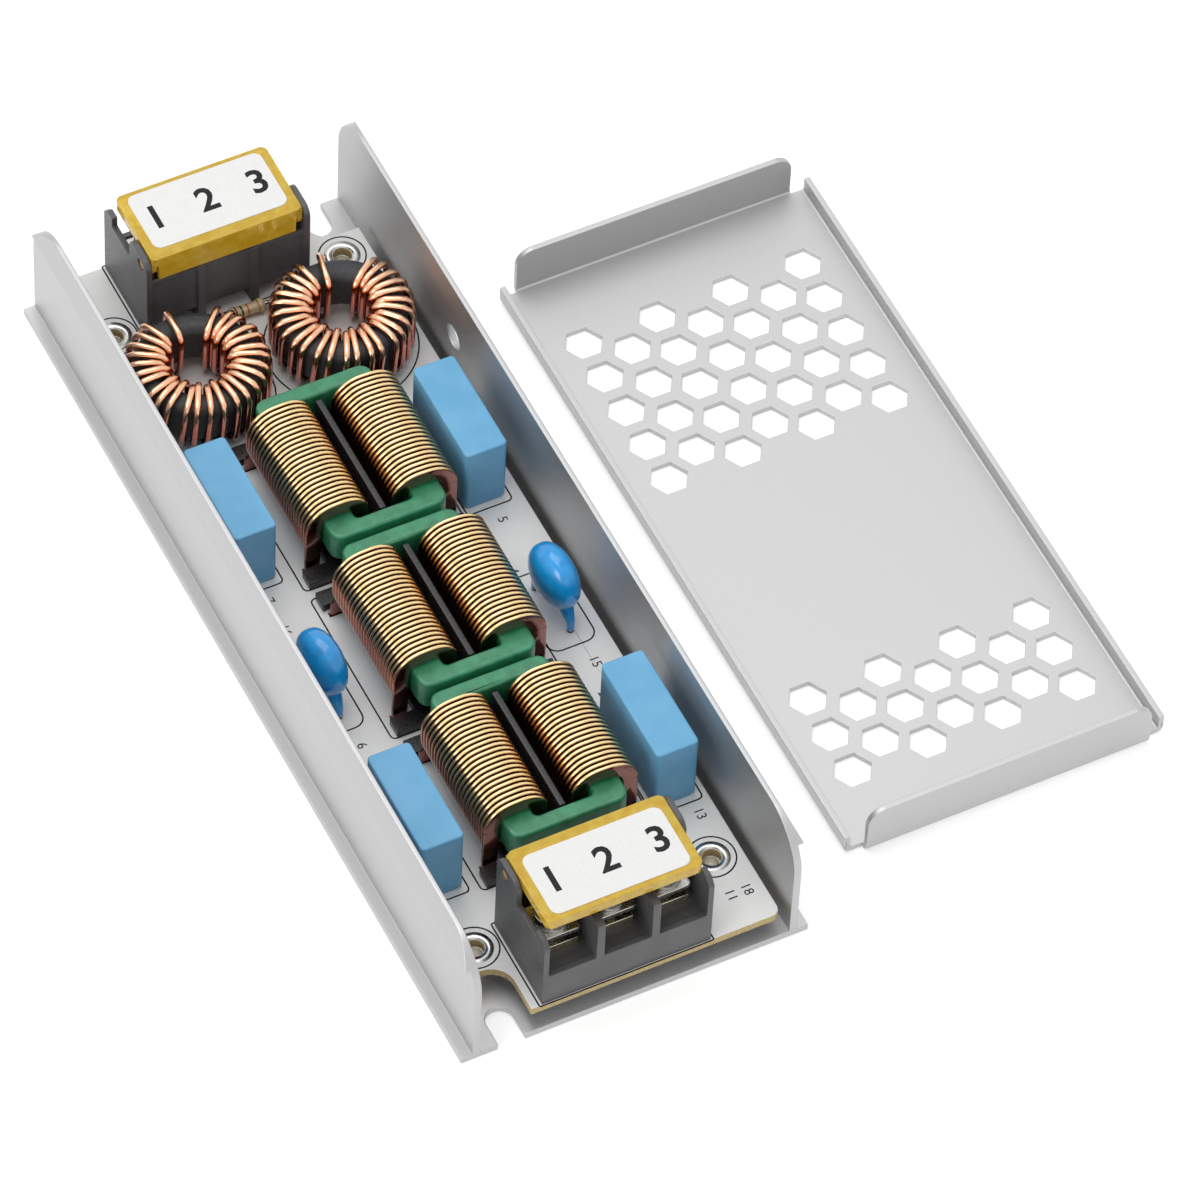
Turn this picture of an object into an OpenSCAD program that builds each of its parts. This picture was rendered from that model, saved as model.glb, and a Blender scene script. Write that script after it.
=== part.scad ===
// Open-frame mains line filter on a folded aluminium tray, with its lid beside it.
// +X is across the tray towards the lid, +Y is along it to the input end, +Z is up.
// The origin is the middle of the underside of the tray.

/* [Chassis] */
// Length of the tray
chassis_len = 164; // [162:1:200]
// Width over the outer faces of the two side walls
chassis_w = 56; // [55.5:0.5:68]
// Height of the side walls
chassis_h = 25; // [24:0.5:32]
// Thickness of the floor and of the walls
chassis_t = 1.3; // [1:0.1:1.6]
// How far the foot stands out past each side wall
foot_ledge = 2; // [1:0.25:4]
// Radius of the top corners of the side walls
wall_corner_r = 9; // [4:0.5:12]
// Height of the snap band along the top of each wall
band_h = 3.8; // [3:0.2:5]
// How far the lower edge of the snap band stands proud
band_proud = 1; // [0.6:0.1:1.4]
// How much thinner the wall is at its top edge
band_taper = 0.5; // [0.2:0.1:0.7]
// Width of the open fixing slots in the floor
slot_w = 4.6; // [3.5:0.1:5.5]
// Distance of the fixing slots from the outer face of a side wall
slot_side = 6.7; // [5.5:0.1:9]
// Depth of the fixing slots from the end of the tray
slot_depth = 6.5; // [5:0.25:8]
// Diameter of the hole in the right-hand wall
wall_hole_d = 4.5; // [3:0.1:5.5]
// Distance of that hole from the input end of the tray
wall_hole_end = 43.5; // [30:0.5:60]
// Height of that hole above the underside
wall_hole_z = 13.2; // [9:0.1:15]

/* [Lid] */
// Clearance between the folded edges of the lid and the top edges of the tray
lid_fit = 0.05; // [0.05:0.05:0.3]
// Gap between each end of the lid and the terminal block behind it, with the lid on
lid_end_gap = 1.3; // [0.5:0.1:4]
// Thickness of the lid sheet
lid_t = 1; // [0.8:0.1:1.2]
// Height of the long folded edges
lid_lip_h = 3.7; // [3:0.1:5]
// Height of the end flanges
lid_flange_h = 9.8; // [7:0.1:12]
// Gap between the end flanges and the side walls, with the lid on
lid_flange_gap = 1.45; // [1:0.05:4]
// Outside bend radius of the lid sheet
lid_bend_r = 1.4; // [1.3:0.1:1.8]
// Corner radius of the end flanges
lid_corner_r = 3; // [1:0.5:5]
// Gap between the foot of the tray and the lid that lies beside it
lid_gap = 11.7; // [4:0.1:30]
// How far the middle of the lid lies from the middle of the tray
lid_shift_y = -9.9; // [-19:0.1:0]

/* [Vent holes] */
// Width across the flats of the six-sided holes
hex_flat = 5.8; // [4:0.1:6.5]
// Pitch of the holes along the lid
hex_pitch = 7.74; // [7.2:0.02:8.2]
// Offset of every second column along the lid
hex_stagger = 4.31; // [3.6:0.01:4.5]
// Columns of holes across the lid
hex_columns = 7; // [3:2:7]
// Rows of the larger group of holes
hex_rows_far = 5; // [3:1:6]
// Rows of the smaller group of holes
hex_rows_near = 3; // [1:1:3]
// Distance of the larger group of holes from its end of the lid
hex_far_end = 15.7; // [12:0.1:20]
// Distance of the smaller group of holes from its end of the lid
hex_near_end = 14.6; // [12:0.1:20]

/* [Circuit board] */
// Gap between the board and each side wall
board_side_gap = 1.2; // [0.5:0.1:1.4]
// Gap between each end of the board and the end of the tray
board_end_gap = 1; // [0.5:0.1:2]
// Thickness of the board
board_t = 1.6; // [1:0.1:2]
// Height of the spacers under the board
spacer_h = 3; // [2.5:0.1:5]
// Outside diameter of the spacers
spacer_d = 5.6; // [4.6:0.1:7]
// Thread core of the spacers
spacer_bore = 2.5; // [2:0.1:3]
// Diameter of the swaged foot of the spacers
spacer_foot_d = 4.2; // [4:0.1:4.6]
// Diameter of the screw holes in the board
board_hole_d = 3.2; // [2.5:0.1:4]
// Distance of the screw holes from the side of the board
board_hole_side = 5; // [4:0.1:5.8]
// Distance of the screw holes from the end of the board
board_hole_end = 14; // [13:0.1:16]
// Room between the side of a fixing slot and the corner notch over it
notch_side_room = 1.4; // [0.5:0.1:1.8]
// Room for a screw head between the end of a fixing slot and the notch
notch_end_room = 4.2; // [3:0.1:4.6]
// Corner radius of the board
board_r = 1.5; // [0.5:0.1:3]
// How far the soldered wire ends reach below the board
pin_out = 1.2; // [0.5:0.1:2]

/* [Terminal blocks] */
// Number of wire cells
cells = 3; // [2:1:3]
// Pitch of the wire cells
cell_pitch = 9.5; // [8:0.1:10]
// Thickness of the walls between the cells
partition_t = 1.4; // [1:0.1:1.8]
// Thickness of the end walls and the back wall of a block
block_end_t = 1; // [0.8:0.1:1.6]
// Depth of a block from front to back
block_depth = 16.8; // [14:0.1:20]
// How far the front face stands back from the end of the board
block_inset = 0; // [0:0.1:1]
// Place of the blocks across the board
block_x = -1.25; // [-2:0.05:1]
// How far the back wall lies behind the edges of the walls between the cells
back_recess = 0.5; // [0.2:0.1:0.8]
// Height of the wire sill above the board
sill_h = 6.9; // [5:0.1:8]
// Height of the walls between the cells above the board
partition_h = 15; // [14:0.1:15.6]
// Height of the hinge ears above the board
ear_h = 18.3; // [17.4:0.1:18.5]
// Length of the hinge ears along the block
ear_len = 7; // [6:0.1:8]
// Height of the front horns of the end walls above the board
horn_h = 15.6; // [14:0.1:16]
// Length of the front horns along the block
horn_len = 3.2; // [2.5:0.1:4]
// Height of the dip in the end walls above the board
dip_h = 13.6; // [10:0.1:14]
// Width of the metal strips
strip_w = 6; // [5:0.1:7]
// Thickness of the metal strips
strip_t = 1.5; // [1:0.1:2]
// Thread diameter of the clamp screws
screw_d = 3.4; // [2.8:0.1:4]
// Head diameter of the clamp screws
screw_head_d = 6; // [5:0.1:6.2]
// Head height of the clamp screws
screw_head_h = 2.2; // [1.6:0.1:2.6]
// Width of the square clamp washers
washer_w = 6.8; // [6.2:0.1:7.4]
// Thickness of the clamp washers
washer_t = 1; // [0.8:0.1:1.4]
// How far the washers stand open above the strips
washer_lift = 1.5; // [1:0.1:2]

/* [Flip covers] */
// Thickness of a flip cover
flap_t = 1; // [0.8:0.1:1.3]
// How far the front of a flip cover sits back from the block face
flap_setback = 1.6; // [0.8:0.1:2]
// How far the back of a flip cover sits before the back of the block
flap_back_gap = 0.4; // [0.2:0.1:0.8]
// Height of the back skirt of a flip cover
flap_skirt_h = 5.2; // [3.6:0.1:5.2]
// Height of the front and side lips of a flip cover
flap_lip_h = 2; // [1.4:0.1:2.2]
// Corner radius of a flip cover
flap_r = 1.2; // [0.5:0.1:2]
// Diameter of the hinge pins
hinge_pin_d = 2; // [1.6:0.1:2.4]
// Radial clearance of the hinge pins in their bores
hinge_fit = 0.06; // [0.04:0.01:0.1]
// Running gap between a flip cover and the end walls
flap_side_gap = 0.15; // [0.1:0.05:0.3]
// Height of the top of a flip cover above the hinge ears
flap_rise = 0.4; // [0.2:0.1:0.8]
// Distance of the hinge axis below the top of the ears
hinge_drop = 2.2; // [2.1:0.1:2.6]
// Distance of the hinge axis from the back of the block
hinge_back = 2.5; // [2.4:0.1:3]
// Distance of the label from the sides of a cover
label_side = 1.5; // [1:0.1:5]
// Distance of the label from the front of a cover
label_front = 0.9; // [0.6:0.1:3]
// Distance of the label from the back of a cover
label_back = 1.9; // [0.6:0.1:3]
// Thickness of the label
label_t = 0.15; // [0.1:0.05:0.3]

/* [Toroid coils] */
// Outside diameter over the winding
toroid_d = 24.1; // [20:0.1:24.4]
// Height over the winding
toroid_h = 10.9; // [9:0.1:12]
// Diameter of the toroid wire
toroid_wire = 1.1; // [0.8:0.01:1.35]
// Radius of the open middle
toroid_eye_r = 4.2; // [3.4:0.1:4.6]
// Angle between the first and the last turn
toroid_gap = 46; // [40:1:90]
// How far the first turn stands apart from the others, as an angle
toroid_lone = 14; // [0:1:16]
// Clearance between the wire and the core
toroid_fit = 0.2; // [0.1:0.05:0.3]
// Height of the winding above the board
toroid_lift = 0.2; // [0.1:0.05:0.5]
// Gap between the winding and its wire feet in the board
toroid_foot_gap = 0.8; // [0.4:0.1:1.2]

/* [Chokes] */
// Length of a choke core
choke_len = 31; // [25:0.1:31.6]
// Gap between the two coils of a choke
choke_coil_gap = 3.5; // [2.5:0.1:4]
// Width of a leg of the core
choke_leg_w = 5.1; // [4.2:0.1:5.5]
// Height of the core section
choke_core_h = 5.8; // [4.8:0.1:7]
// Thickness of the yokes at the two ends
choke_yoke_t = 2.9; // [2.4:0.1:4.4]
// Outer corner radius of the core
choke_core_r = 2; // [1:0.1:3]
// Width of the flat coil wire
flat_wire_w = 2.8; // [2.2:0.1:2.9]
// Thickness of the flat coil wire
flat_wire_t = 0.66; // [0.5:0.02:0.8]
// Gap between neighbouring flat-wire turns
choke_turn_gap = 0.28; // [0.2:0.02:0.5]
// Least gap between a coil and a yoke
choke_end_gap = 0.9; // [0.5:0.1:3]
// Clearance between the flat wire and the leg
choke_fit = 0.5; // [0.4:0.05:0.6]
// Gap between a coil and the base under it
choke_lift = 0.2; // [0.1:0.05:0.4]
// Gap between the cores of neighbouring chokes
choke_gap = 1.2; // [0.6:0.1:2]
// Gap between the last choke and the output block
choke_block_gap = 6.1; // [5:0.1:7]
// Place of the chokes across the board
choke_x = 0.4; // [-1:0.1:1]
// Thickness of the choke base
choke_base_t = 1.6; // [1:0.1:2]
// Thickness of the plate between the two coils
choke_plate_t = 1.1; // [0.8:0.1:2]

/* [Capacitors] */
// Thickness of the boxed capacitors
film_w = 7.4; // [6:0.1:7.8]
// Length of the boxed capacitors
film_len = 20; // [17:0.1:22]
// Height of the boxed capacitors
film_h = 13.6; // [10:0.1:16]
// Edge radius of the boxed capacitors
film_r = 0.8; // [0.3:0.1:1.5]
// Lead pitch of the boxed capacitors
film_lead_pitch = 15; // [10:0.5:15]
// Diameter of the disc capacitors
disc_d = 11.4; // [9:0.1:11.6]
// Thickness of the disc capacitors
disc_t = 6; // [4:0.1:6.4]
// Height of the middle of the discs above the board
disc_rise = 8.8; // [8.2:0.1:9]
// Lead pitch of the disc capacitors
disc_lead_pitch = 10; // [7.5:0.5:10]
// Angle by which the discs are turned out of line with the board
disc_turn = 8; // [0:1:12]
// Wire of the capacitor and resistor leads
lead_d = 0.8; // [0.6:0.05:1]

/* [Resistor] */
// Length of the resistor body
resistor_len = 6.4; // [5:0.1:7]
// Diameter of the resistor end caps
resistor_d = 2.5; // [2:0.1:3]
// Lead pitch of the resistor
resistor_pitch = 9; // [8.6:0.1:10]
// Distance of the resistor from the input block
resistor_back = 2.2; // [1.8:0.1:2.6]
// Place of the resistor across the board
resistor_x = 0.9; // [0.4:0.1:2]

/* [Hidden] */
$fn = 48;

// Small fits that several pieces share
cut = 0.5;          // how far a cutting shape runs past the face that it cuts
hole_fit = 0.15;    // clearance round a lead, a tail or a foot in its hole
face_fit = 0.05;    // clearance round a swaged or threaded shank

// The board in the tray
wall_x = chassis_w / 2 - chassis_t;
board_w = 2 * (wall_x - board_side_gap);
board_len = chassis_len - 2 * board_end_gap;
board_hole_x = board_w / 2 - board_hole_side;
board_hole_y = board_len / 2 - board_hole_end;
slot_x = chassis_w / 2 - slot_side;
notch_w = board_w / 2 - slot_x + slot_w / 2 + notch_side_room;
notch_len = board_len / 2 - chassis_len / 2 + slot_depth + notch_end_room;

// Heights of the board and what stands on it
board_low = chassis_t + spacer_h;
board_top = board_low + board_t;
lead_foot = board_low - pin_out;
toroid_z = board_top + toroid_lift + toroid_h / 2;
block_front_y = board_len / 2 - block_inset;
block_back_y = block_front_y - block_depth;
choke_half_w = choke_leg_w / 2 + choke_fit + flat_wire_w;
choke_half_h = choke_core_h / 2 + choke_fit + flat_wire_w;
choke_z = board_top + choke_base_t + choke_lift + choke_half_h;
choke_leg_gap = 2 * choke_half_w + choke_coil_gap;

// Where the parts stand: along the board from the two blocks, and across it from the side walls
choke_pitch = choke_len + choke_gap;
choke_near_y = -block_back_y + choke_block_gap + choke_len / 2;
choke_centres = [for (i = [2, 1, 0]) [choke_x, choke_near_y + i * choke_pitch]];
toroid_centres = [
    [toroid_d / 2 + 1.15 - wall_x, block_back_y - toroid_d / 2 - 2.45],
    [wall_x - toroid_d / 2 - 2.35, block_back_y - toroid_d / 2 - 2.05]
];
toroid_gap_dirs = [82, 72];
film_centres = [
    [wall_x - film_w / 2 - 3.8, choke_centres[0].y - 1],
    [film_w / 2 + 1.8 - wall_x, choke_centres[0].y - 0.7],
    [film_w / 2 + 2.3 - wall_x, choke_centres[2].y - 3.2],
    [wall_x - film_w / 2 - 2.8, choke_centres[2].y - 2.4]
];
disc_centres = [[5.6 - wall_x, choke_centres[1].y - 2.6], [wall_x - 7.2, choke_centres[1].y - 2.6]];
disc_along = [-sin(disc_turn), cos(disc_turn)];
resistor_y = block_back_y - resistor_back;

// A terminal block in its own frame: x from its middle, y back from its face, z as on the board
block_w = cells * cell_pitch - partition_t + 2 * block_end_t;
block_in_w = block_w - 2 * block_end_t;
sill_z = board_top + sill_h;
shelf_z = sill_z - 0.4;
shelf_t = 1.5;
under_gap = 3.1;
screw_y = 7.6;
strip_front = 4.2;
strip_back = 12.4;
tail_w = 1.2;
washer_z = shelf_z + strip_t + washer_lift;
ear_top = board_top + ear_h;
hinge_y = block_depth - hinge_back;
hinge_z = ear_top - hinge_drop;
flap_top = ear_top + flap_rise;
flap_w = block_in_w - 2 * flap_side_gap;
flap_depth = block_depth - flap_setback - flap_back_gap;
flap_back = flap_setback + flap_depth;
flap_sweep = norm([flap_back - hinge_y, flap_top - hinge_z]) + 0.3;
lug_r = hinge_pin_d / 2 + 0.9;
cell_xs = [for (i = [0:cells - 1]) (i - (cells - 1) / 2) * cell_pitch];

// The lid, cut to the tray and lying beside it
lid_w = chassis_w - 2 * band_taper + 2 * lid_t + 2 * lid_fit;
lid_len = 2 * (block_back_y - lid_end_gap);
lid_flange_w = 2 * (wall_x - lid_flange_gap);
lid_x = chassis_w / 2 + foot_ledge + lid_gap + lid_w / 2;
hex_column_pitch = hex_pitch * cos(30);

// A flat rectangle with round corners
module round_rect(w, h, r) {
    difference() {
        square([w, h], center = true);
        for (sx = [-1, 1], sy = [-1, 1])
            translate([sx * (w / 2 - r), sy * (h / 2 - r)]) scale([sx, sy]) difference() {
                square([r + cut, r + cut]);
                circle(r);
            }
    }
}

// A block that is round along its upright edges and stands on z
module round_block(w, d, h, r) {
    linear_extrude(h) round_rect(w, d, r);
}

// Outline of one bent sheet: a U that opens upwards
module sheet_u(w, h, t, r) {
    difference() {
        translate([-w / 2, 0]) square([w, h]);
        for (s = [-1, 1]) translate([s * (w / 2 - r), r]) scale([s, 1]) difference() {
            translate([0, -r - cut]) square([r + cut, r + cut]);
            circle(r);
        }
        difference() {
            translate([-w / 2 + t, t]) square([w - 2 * t, h]);
            for (s = [-1, 1]) translate([s * (w / 2 - r), r]) scale([s, 1]) difference() {
                translate([0, -r + t - cut]) square([r - t + cut, r - t + cut]);
                circle(r - t);
            }
        }
    }
}

// Stands its child, drawn flat with x across and y up, along the Y axis
module along_y(len) {
    translate([0, len / 2, 0]) rotate([90, 0, 0]) linear_extrude(len) children();
}

// Stands its child, drawn flat with x along Y and y up, along the X axis
module along_x(len) {
    translate([-len / 2, 0, 0]) rotate([90, 0, 90]) linear_extrude(len) children();
}

// Right half of the tray section, from the floor's underside round the wall to the floor's top
function chassis_half_section() =
    let(
        outer = chassis_w / 2,
        inner = outer - chassis_t,
        band_z = chassis_h - band_h
    )
    [
        [outer + foot_ledge, 0], [outer + foot_ledge, chassis_t], [outer, chassis_t],
        [outer, band_z], [outer + band_proud, band_z], [outer - band_taper, chassis_h],
        [inner, chassis_h], [inner, chassis_t]
    ];

module chassis() {
    right = chassis_half_section();
    left = [for (i = [len(right) - 1:-1:0]) [-right[i].x, right[i].y]];
    color("#C9C9C9")
    difference() {
        along_y(chassis_len) polygon(concat(right, left));
        wall_corner_cuts();
        for (s = [-1, 1]) scale([s, s, 1]) fixing_slot();
        translate([chassis_w / 2 - 2 * chassis_t, chassis_len / 2 - wall_hole_end, wall_hole_z])
            rotate([0, 90, 0]) cylinder(h = 4 * chassis_t, d = wall_hole_d);
        for (p = board_hole_places())
            translate([p.x, p.y, -cut]) cylinder(h = chassis_t + 2 * cut, d = spacer_foot_d);
    }
}

// What is taken off the four top corners of the side walls
module wall_corner_cuts() {
    r = wall_corner_r;
    for (s = [-1, 1]) scale([1, s, 1])
        along_x(chassis_w + 4 * foot_ledge)
            translate([chassis_len / 2 - r, chassis_h - r]) difference() {
                square([r + cut, r + cut]);
                circle(r);
            }
}

// One open slot at the far right of the floor
module fixing_slot() {
    reach = slot_depth - slot_w / 2;
    translate([slot_x, chassis_len / 2 - reach, -cut]) {
        cylinder(h = chassis_t + 2 * cut, d = slot_w);
        translate([-slot_w / 2, 0, 0]) cube([slot_w, reach + cut, chassis_t + 2 * cut]);
    }
}

function board_hole_places() =
    [for (sx = [-1, 1], sy = [-1, 1]) [sx * board_hole_x, sy * board_hole_y]];

module board_spacers() {
    color("#D8D2BE")
    for (p = board_hole_places()) translate([p.x, p.y, 0]) difference() {
        union() {
            translate([0, 0, chassis_t]) cylinder(h = spacer_h, d = spacer_d);
            cylinder(h = chassis_t + cut, d = spacer_foot_d - 2 * face_fit);
        }
        translate([0, 0, -cut]) cylinder(h = chassis_t + spacer_h + 2 * cut, d = spacer_bore);
    }
}

// The lid lies upside down on its plate, so its folded edges point up
module vent_cover() {
    color("#CFCFCF")
    translate([lid_x, lid_shift_y, 0])
    difference() {
        union() {
            intersection() {
                along_y(lid_len) sheet_u(lid_w, lid_lip_h, lid_t, lid_bend_r);
                translate([0, 0, -cut])
                    round_block(lid_w + 1, lid_len - 2 * lid_bend_r, lid_lip_h + 2 * cut, 1);
            }
            intersection() {
                along_x(lid_flange_w) sheet_u(lid_len, lid_flange_h, lid_t, lid_bend_r);
                along_y(lid_len + 2 * cut) flange_outline();
            }
        }
        for (p = vent_places()) translate([p.x, p.y, -cut])
            cylinder(h = lid_t + 2 * cut, d = hex_flat / cos(30), $fn = 6);
    }
}

// End flange seen from the end, round at its two free corners
module flange_outline() {
    r = lid_corner_r;
    difference() {
        translate([-lid_flange_w / 2, -cut]) square([lid_flange_w, lid_flange_h + cut]);
        for (s = [-1, 1])
            translate([s * (lid_flange_w / 2 - r), lid_flange_h - r]) scale([s, 1]) difference() {
                square([r + cut, r + cut]);
                circle(r);
            }
    }
}

// Places of the vent holes: two groups, every second column one hole shorter
function vent_group(first_y, rows) = [
    for (i = [0:hex_columns - 1], j = [0:rows - 1 - i % 2])
        [(i - (hex_columns - 1) / 2) * hex_column_pitch, first_y - j * hex_pitch - (i % 2) * hex_stagger]
];
function vent_places() = concat(
    vent_group(lid_len / 2 - hex_far_end, hex_rows_far),
    vent_group(hex_near_end - lid_len / 2 + (hex_rows_near - 1) * hex_pitch, hex_rows_near)
);

module circuit_board() {
    color("#EFEDE6")
    translate([0, 0, board_low]) difference() {
        round_block(board_w, board_len, board_t, board_r);
        translate([0, 0, -cut]) linear_extrude(board_t + 2 * cut) {
            for (s = [-1, 1]) scale([s, s]) board_notch();
            for (p = board_hole_places()) translate(p) circle(d = board_hole_d);
            for (p = round_lead_places()) translate(p) circle(d = lead_d + 2 * hole_fit);
            for (p = toroid_feet()) translate(p) circle(d = toroid_wire + 2 * hole_fit);
            for (p = tail_places()) translate(p) circle(d = 1.5 * tail_w + 2 * hole_fit);
            for (p = flat_lead_places()) translate(p)
                square([flat_wire_w + 2 * hole_fit, flat_wire_t + 2 * hole_fit], center = true);
        }
    }
}

// Notch at the far right corner of the board, over the fixing slot
module board_notch() {
    r = notch_w / 2;
    translate([board_w / 2 - notch_w, board_len / 2 - notch_len]) {
        translate([r, r]) circle(r);
        translate([r, 0]) square([notch_w, notch_len + cut]);
        translate([0, r]) square([r + cut, notch_len]);
    }
}

// Lead holes of the capacitors and the resistor
function round_lead_places() = concat(
    [for (c = film_centres, s = [-1, 1]) [c.x, c.y + s * film_lead_pitch / 2]],
    [for (c = disc_centres, s = [-1, 1]) c + s * disc_lead_pitch / 2 * disc_along],
    [for (s = [-1, 1]) [resistor_x + s * resistor_pitch / 2, resistor_y]]
);

// Solder tails of the terminal strips
function tail_places() = [
    for (s = [-1, 1], x = cell_xs)
        [block_x + x, s * (block_front_y - strip_back + strip_t / 2)]
];

// Ends of the flat-wire coils
function flat_lead_places() = [
    for (c = choke_centres, side = [-1, 1], end = [-1, 1])
        [c.x + side * (choke_leg_gap / 2 + choke_half_w - flat_wire_w / 2), c.y + end * coil_reach()]
];

// Puts a block piece in its place: end is -1 at the output and 1 at the input
module at_block(end) {
    translate([block_x, end * block_front_y, 0]) rotate([0, 0, end > 0 ? 180 : 0]) children();
}

module terminal_block(end) {
    color("#2B2B2B")
    at_block(end) difference() {
        union() {
            translate([-block_w / 2, 0, board_top]) cube([block_w, block_end_t, sill_h]);
            translate([-block_w / 2, 0, shelf_z - shelf_t])
                cube([block_w, block_depth - back_recess, shelf_t]);
            translate([-block_w / 2, block_depth - back_recess - block_end_t, board_top + under_gap])
                cube([block_w, block_end_t, partition_h - under_gap]);
            for (s = [-1, 1]) translate([s * (block_w - block_end_t) / 2, 0, 0])
                along_x(block_end_t) end_wall_outline();
            for (i = [1:cells - 1])
                translate([(i - cells / 2) * cell_pitch - partition_t / 2, 0, board_top])
                    cube([partition_t, block_depth, partition_h]);
        }
        translate([0, hinge_y, hinge_z]) rotate([0, 90, 0]) {
            cylinder(h = block_in_w, r = flap_sweep, center = true);
            cylinder(h = block_w + 2 * cut, d = hinge_pin_d + 2 * hinge_fit, center = true);
        }
        for (x = cell_xs) translate([x, 0, 0]) {
            translate([0, screw_y, shelf_z - shelf_t - cut])
                cylinder(h = shelf_t + 2 * cut, d = screw_d + 1);
            translate([-tail_w / 2 - hole_fit, strip_back - strip_t - hole_fit, shelf_z - shelf_t - cut])
                cube([tail_w + 2 * hole_fit, strip_t + 2 * hole_fit, shelf_t + 2 * cut]);
        }
    }
}

// End wall of a block from the side: front horn with a sloped corner, dip and hinge ear
module end_wall_outline() {
    r = 2;
    ear_front = block_depth - ear_len;
    slope = 1.3;
    difference() {
        translate([0, board_top]) square([block_depth, ear_h]);
        translate([horn_len, board_top + dip_h]) square([ear_front - horn_len, ear_h]);
        translate([-cut, board_top + horn_h]) square([horn_len + 2 * cut, ear_h]);
        translate([0, board_top + horn_h]) rotate(45) square(slope * sqrt(2), center = true);
        translate([ear_front + r, ear_top - r]) difference() {
            translate([-r - cut, 0]) square([r + cut, r + cut]);
            circle(r);
        }
        translate([block_depth - r, ear_top - r]) difference() {
            square([r + cut, r + cut]);
            circle(r);
        }
    }
}

// Metal strips: a flat bar under the screw and a tail down through the board
module terminal_strips(end) {
    color("#D9D2B8")
    at_block(end) for (x = cell_xs) translate([x, 0, 0]) difference() {
        union() {
            translate([-strip_w / 2, strip_front, shelf_z])
                cube([strip_w, strip_back - strip_front, strip_t]);
            translate([-tail_w / 2, strip_back - strip_t, lead_foot])
                cube([tail_w, strip_t, shelf_z + strip_t - lead_foot]);
        }
        translate([0, screw_y, shelf_z - cut]) cylinder(h = strip_t + 2 * cut, d = screw_d + 2 * face_fit);
    }
}

module clamp_washers(end) {
    color("#C4C4C4")
    at_block(end) for (x = cell_xs) translate([x, screw_y, washer_z]) difference() {
        round_block(washer_w, washer_w, washer_t, 0.6);
        translate([0, 0, -cut]) cylinder(h = washer_t + 2 * cut, d = screw_d + 2 * hole_fit);
    }
}

// Clamp screws with a cross-cut head
module terminal_screws(end) {
    head_z = washer_z + washer_t;
    shank_z = shelf_z - shelf_t - 1;
    color("#B9B9B9")
    at_block(end) for (x = cell_xs) translate([x, screw_y, 0]) difference() {
        union() {
            translate([0, 0, head_z]) cylinder(h = screw_head_h, d = screw_head_d);
            translate([0, 0, shank_z]) cylinder(h = head_z - shank_z + cut, d = screw_d);
        }
        for (a = [45, 135]) translate([0, 0, head_z + screw_head_h]) rotate([0, 0, a])
            cube([0.6 * screw_head_d, 0.9, 1.8], center = true);
    }
}

// Flip cover: a shallow lid with a deep back skirt and a pin at each end
module flap(end) {
    mid = flap_setback + flap_depth / 2;
    color("#D2A53A")
    at_block(end) {
        difference() {
            translate([0, mid, flap_top - flap_lip_h]) round_block(flap_w, flap_depth, flap_lip_h, flap_r);
            translate([0, mid, flap_top - flap_lip_h - cut]) round_block(
                flap_w - 2 * flap_t, flap_depth - 2 * flap_t, flap_lip_h - flap_t + cut, flap_r / 2);
        }
        translate([-flap_w / 2 + flap_r, flap_back - flap_t, flap_top - flap_skirt_h])
            cube([flap_w - 2 * flap_r, flap_t, flap_skirt_h - flap_t / 2]);
        for (s = [-1, 1]) translate([s * (flap_w - flap_t) / 2, 0, 0]) {
            translate([0, hinge_y, hinge_z]) rotate([0, 90, 0])
                cylinder(h = flap_t, r = lug_r, center = true);
            translate([-flap_t / 2, hinge_y - lug_r, hinge_z])
                cube([flap_t, 2 * lug_r, flap_top - hinge_z - flap_t / 2]);
            translate([s * (block_end_t / 2 + flap_side_gap / 2), hinge_y, hinge_z]) rotate([0, 90, 0])
                cylinder(h = block_end_t + flap_side_gap + flap_t / 2, d = hinge_pin_d, center = true);
        }
    }
}

module label(end) {
    color("#F4F4F4")
    at_block(end) translate([0, (flap_setback + label_front + flap_back - label_back) / 2, flap_top])
        round_block(flap_w - 2 * label_side, flap_depth - label_front - label_back, label_t, 1.5);
}

// Swept wire
// path holds points, sides holds one unit vector per point that lies across the wire,
// and section holds the wire's own outline as [in-plane, crosswise] pairs.
function unit(v) = v / norm(v);
function wire_ring(path, sides, section, i) =
    let(
        before = i == 0 ? path[1] - path[0] : path[i] - path[i - 1],
        after = i == len(path) - 1 ? before : path[i + 1] - path[i],
        along = unit(unit(before) + unit(after)),
        across = unit(cross(sides[i], along)),
        side = cross(along, across),
        stretch = 1 / (along * unit(after))
    )
    [for (p = section) path[i] + across * p.x * stretch + side * p.y];

module swept_wire(path, sides, section) {
    n = len(section);
    rings = len(path);
    points = [for (i = [0:rings - 1]) each wire_ring(path, sides, section, i)];
    walls = [
        for (i = [0:rings - 2], k = [0:n - 1])
            let(a = i * n + k, b = i * n + (k + 1) % n)
            each [[a, a + n, b], [b, a + n, b + n]]
    ];
    caps = [[for (k = [0:n - 1]) k], [for (k = [n - 1:-1:0]) (rings - 1) * n + k]];
    polyhedron(points = points, faces = concat(walls, caps), convexity = 10);
}

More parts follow.
